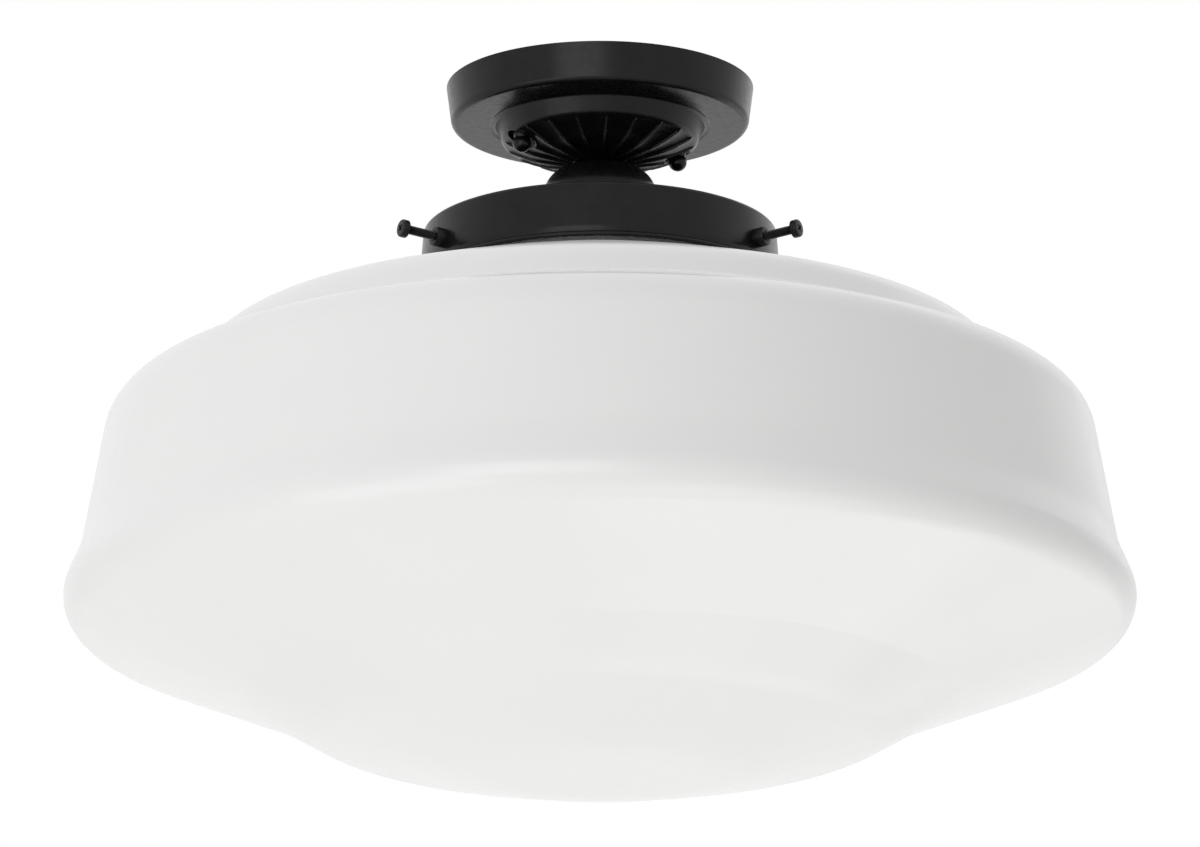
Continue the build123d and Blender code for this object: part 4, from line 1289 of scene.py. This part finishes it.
@dataclass(frozen=True)
class Glow:
    """Broad ambient light that is strongest from one direction and fades to the other side."""

    azimuth: float
    elevation: float
    strength: float

    def strength_socket(self, tree: NodeTree, place: NodeSocket) -> NodeSocket:
        """Adds the nodes of this glow.

        Args:
            tree: Node tree of the world.
            place: Socket that gives the direction of a ray.

        Returns:
            The socket that gives its strength in that direction.
        """
        side = tree.nodes.new("ShaderNodeVectorMath")
        side.operation = "DOT_PRODUCT"
        side.inputs[1].default_value = outward(self.azimuth, self.elevation)
        near = tree.nodes.new("ShaderNodeMapRange")
        near.inputs["From Min"].default_value = -1.0
        near.inputs["From Max"].default_value = 1.0
        tree.links.new(place, side.inputs[0])
        tree.links.new(side.outputs["Value"], near.inputs["Value"])
        fall = combine(tree, "POWER", near.outputs["Result"], 2.0)
        return combine(tree, "MULTIPLY", fall, self.strength)


@dataclass(frozen=True)
class StudioSize:
    """Camera, ambient light and softboxes."""

    camera_azimuth: float = 248.0
    camera_distance: float = 3.3132
    camera_height: float = -1.0786
    camera_pitch: float = 15.639
    lens: float = 240.0
    sensor_width: float = 36.0
    target_height: float = -0.16
    floor_height: float = -7.6
    floor_width: float = 30.0
    glows: tuple[Glow, ...] = (
        Glow(0.0, 90.0, 0.69), Glow(158.0, 0.0, 0.29), Glow(248.0, 0.0, 0.10), Glow(68.0, 0.0, 0.56))
    softboxes: tuple[Softbox, ...] = (
        Softbox("front", 233.0, 0.0, 2.6, 1.6, 13.6),
        Softbox("front_low", 203.0, -30.0, 2.6, 1.6, 9.6),
        Softbox("floor_front", 298.0, -60.0, 2.6, 1.6, 6.9),
        Softbox("floor_back", 28.0, -60.0, 2.6, 1.6, 6.1),
        Softbox("right_low", 28.0, -30.0, 2.6, 1.6, 3.0),
        Softbox("right_high", 28.0, 30.0, 2.6, 1.6, 2.1),
    )


@dataclass
class Studio:
    """Pale floor, soft light, white surroundings and the camera."""

    size: StudioSize = StudioSize()

    def build(self) -> None:
        """Sets up everything round the object."""
        self._floor()
        self._world()
        for softbox in self.size.softboxes:
            softbox.build(Vector((0.0, 0.0, self.size.target_height)))
        self._camera()
        bpy.context.scene.view_settings.view_transform = "Standard"
        LOG.info("built studio with %d softboxes", len(self.size.softboxes))

    def _floor(self) -> None:
        """Plain pale floor far below the light."""
        half = self.size.floor_width / 2 / MM
        skin = Skin()
        corners = ((-half, -half, 0), (half, -half, 0), (half, half, 0), (-half, half, 0))
        skin.faces.append(tuple(skin.row(corners)))
        place = Matrix.Translation((0.0, 0.0, self.size.floor_height / MM))
        floor = bpy.data.objects.new("floor", skin.mesh("floor", place, 30.0))
        material, tree, shader = new_material("floor_paint")
        shader.inputs["Roughness"].default_value = 0.8
        noise = tree.nodes.new("ShaderNodeTexNoise")
        noise.inputs["Scale"].default_value = 1.5
        mottle(tree, shader, noise, ((0.82, 0.82, 0.81), (0.87, 0.87, 0.86)))
        floor.data.materials.append(material)
        bpy.context.scene.collection.objects.link(floor)
        floor.visible_glossy = False

    def _world(self) -> None:
        """White to the camera and in reflections; otherwise the sum of the broad glows."""
        world = bpy.data.worlds.new("studio")
        world.use_nodes = True
        tree = world.node_tree
        tree.nodes.clear()
        output = tree.nodes.new("ShaderNodeOutputWorld")
        choice = tree.nodes.new("ShaderNodeMixShader")
        path = tree.nodes.new("ShaderNodeLightPath")
        seen = tree.nodes.new("ShaderNodeBackground")
        seen.inputs["Color"].default_value = (1.0, 1.0, 1.0, 1.0)
        soft = tree.nodes.new("ShaderNodeBackground")
        soft.inputs["Color"].default_value = (1.0, 1.0, 1.0, 1.0)
        place = tree.nodes.new("ShaderNodeTexCoord")
        total = None
        for glow in self.size.glows:
            part = glow.strength_socket(tree, place.outputs["Generated"])
            total = part if total is None else combine(tree, "ADD", total, part)
        tree.links.new(total, soft.inputs["Strength"])
        either = combine(tree, "MAXIMUM", path.outputs["Is Camera Ray"], path.outputs["Is Glossy Ray"])
        tree.links.new(either, choice.inputs["Fac"])
        tree.links.new(soft.outputs["Background"], choice.inputs[1])
        tree.links.new(seen.outputs["Background"], choice.inputs[2])
        tree.links.new(choice.outputs["Shader"], output.inputs["Surface"])
        bpy.context.scene.world = world

    def _camera(self) -> None:
        """Camera below the light that looks up at it."""
        size = self.size
        azimuth = math.radians(size.camera_azimuth)
        data = bpy.data.cameras.new("camera")
        data.lens = size.lens
        data.sensor_width = size.sensor_width
        data.sensor_fit = "HORIZONTAL"
        camera = bpy.data.objects.new("camera", data)
        camera.location = (size.camera_distance * math.cos(azimuth), size.camera_distance * math.sin(azimuth),
                           size.camera_height)
        camera.rotation_euler = (math.radians(90.0 + size.camera_pitch), 0.0,
                                 math.radians(size.camera_azimuth - 270.0))
        bpy.context.scene.collection.objects.link(camera)
        bpy.context.scene.camera = camera


# ---------------------------------------------------------------- everything in order


def main() -> None:
    """Loads the solid model, finishes every piece and sets up the studio."""
    logging.basicConfig(level=logging.INFO, format="%(message)s")
    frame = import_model()
    shop = Workshop(frame)
    bar = CeilingBar(shop)
    bar.build()
    Canopy(shop).build()
    BallNuts(shop).build(bar.size.stud_spacing)
    HangingTube(shop).build()
    SocketCup(shop).build()
    holder = ShadeHolder(shop)
    holder.build()
    SideScrews(shop, holder.screw_frames()).build()
    GlassShade(shop).build()
    Lampholder(shop).build()
    Lamp(shop).build()
    Wiring(shop).build()
    Studio().build()


if __name__ == "__main__":
    main()
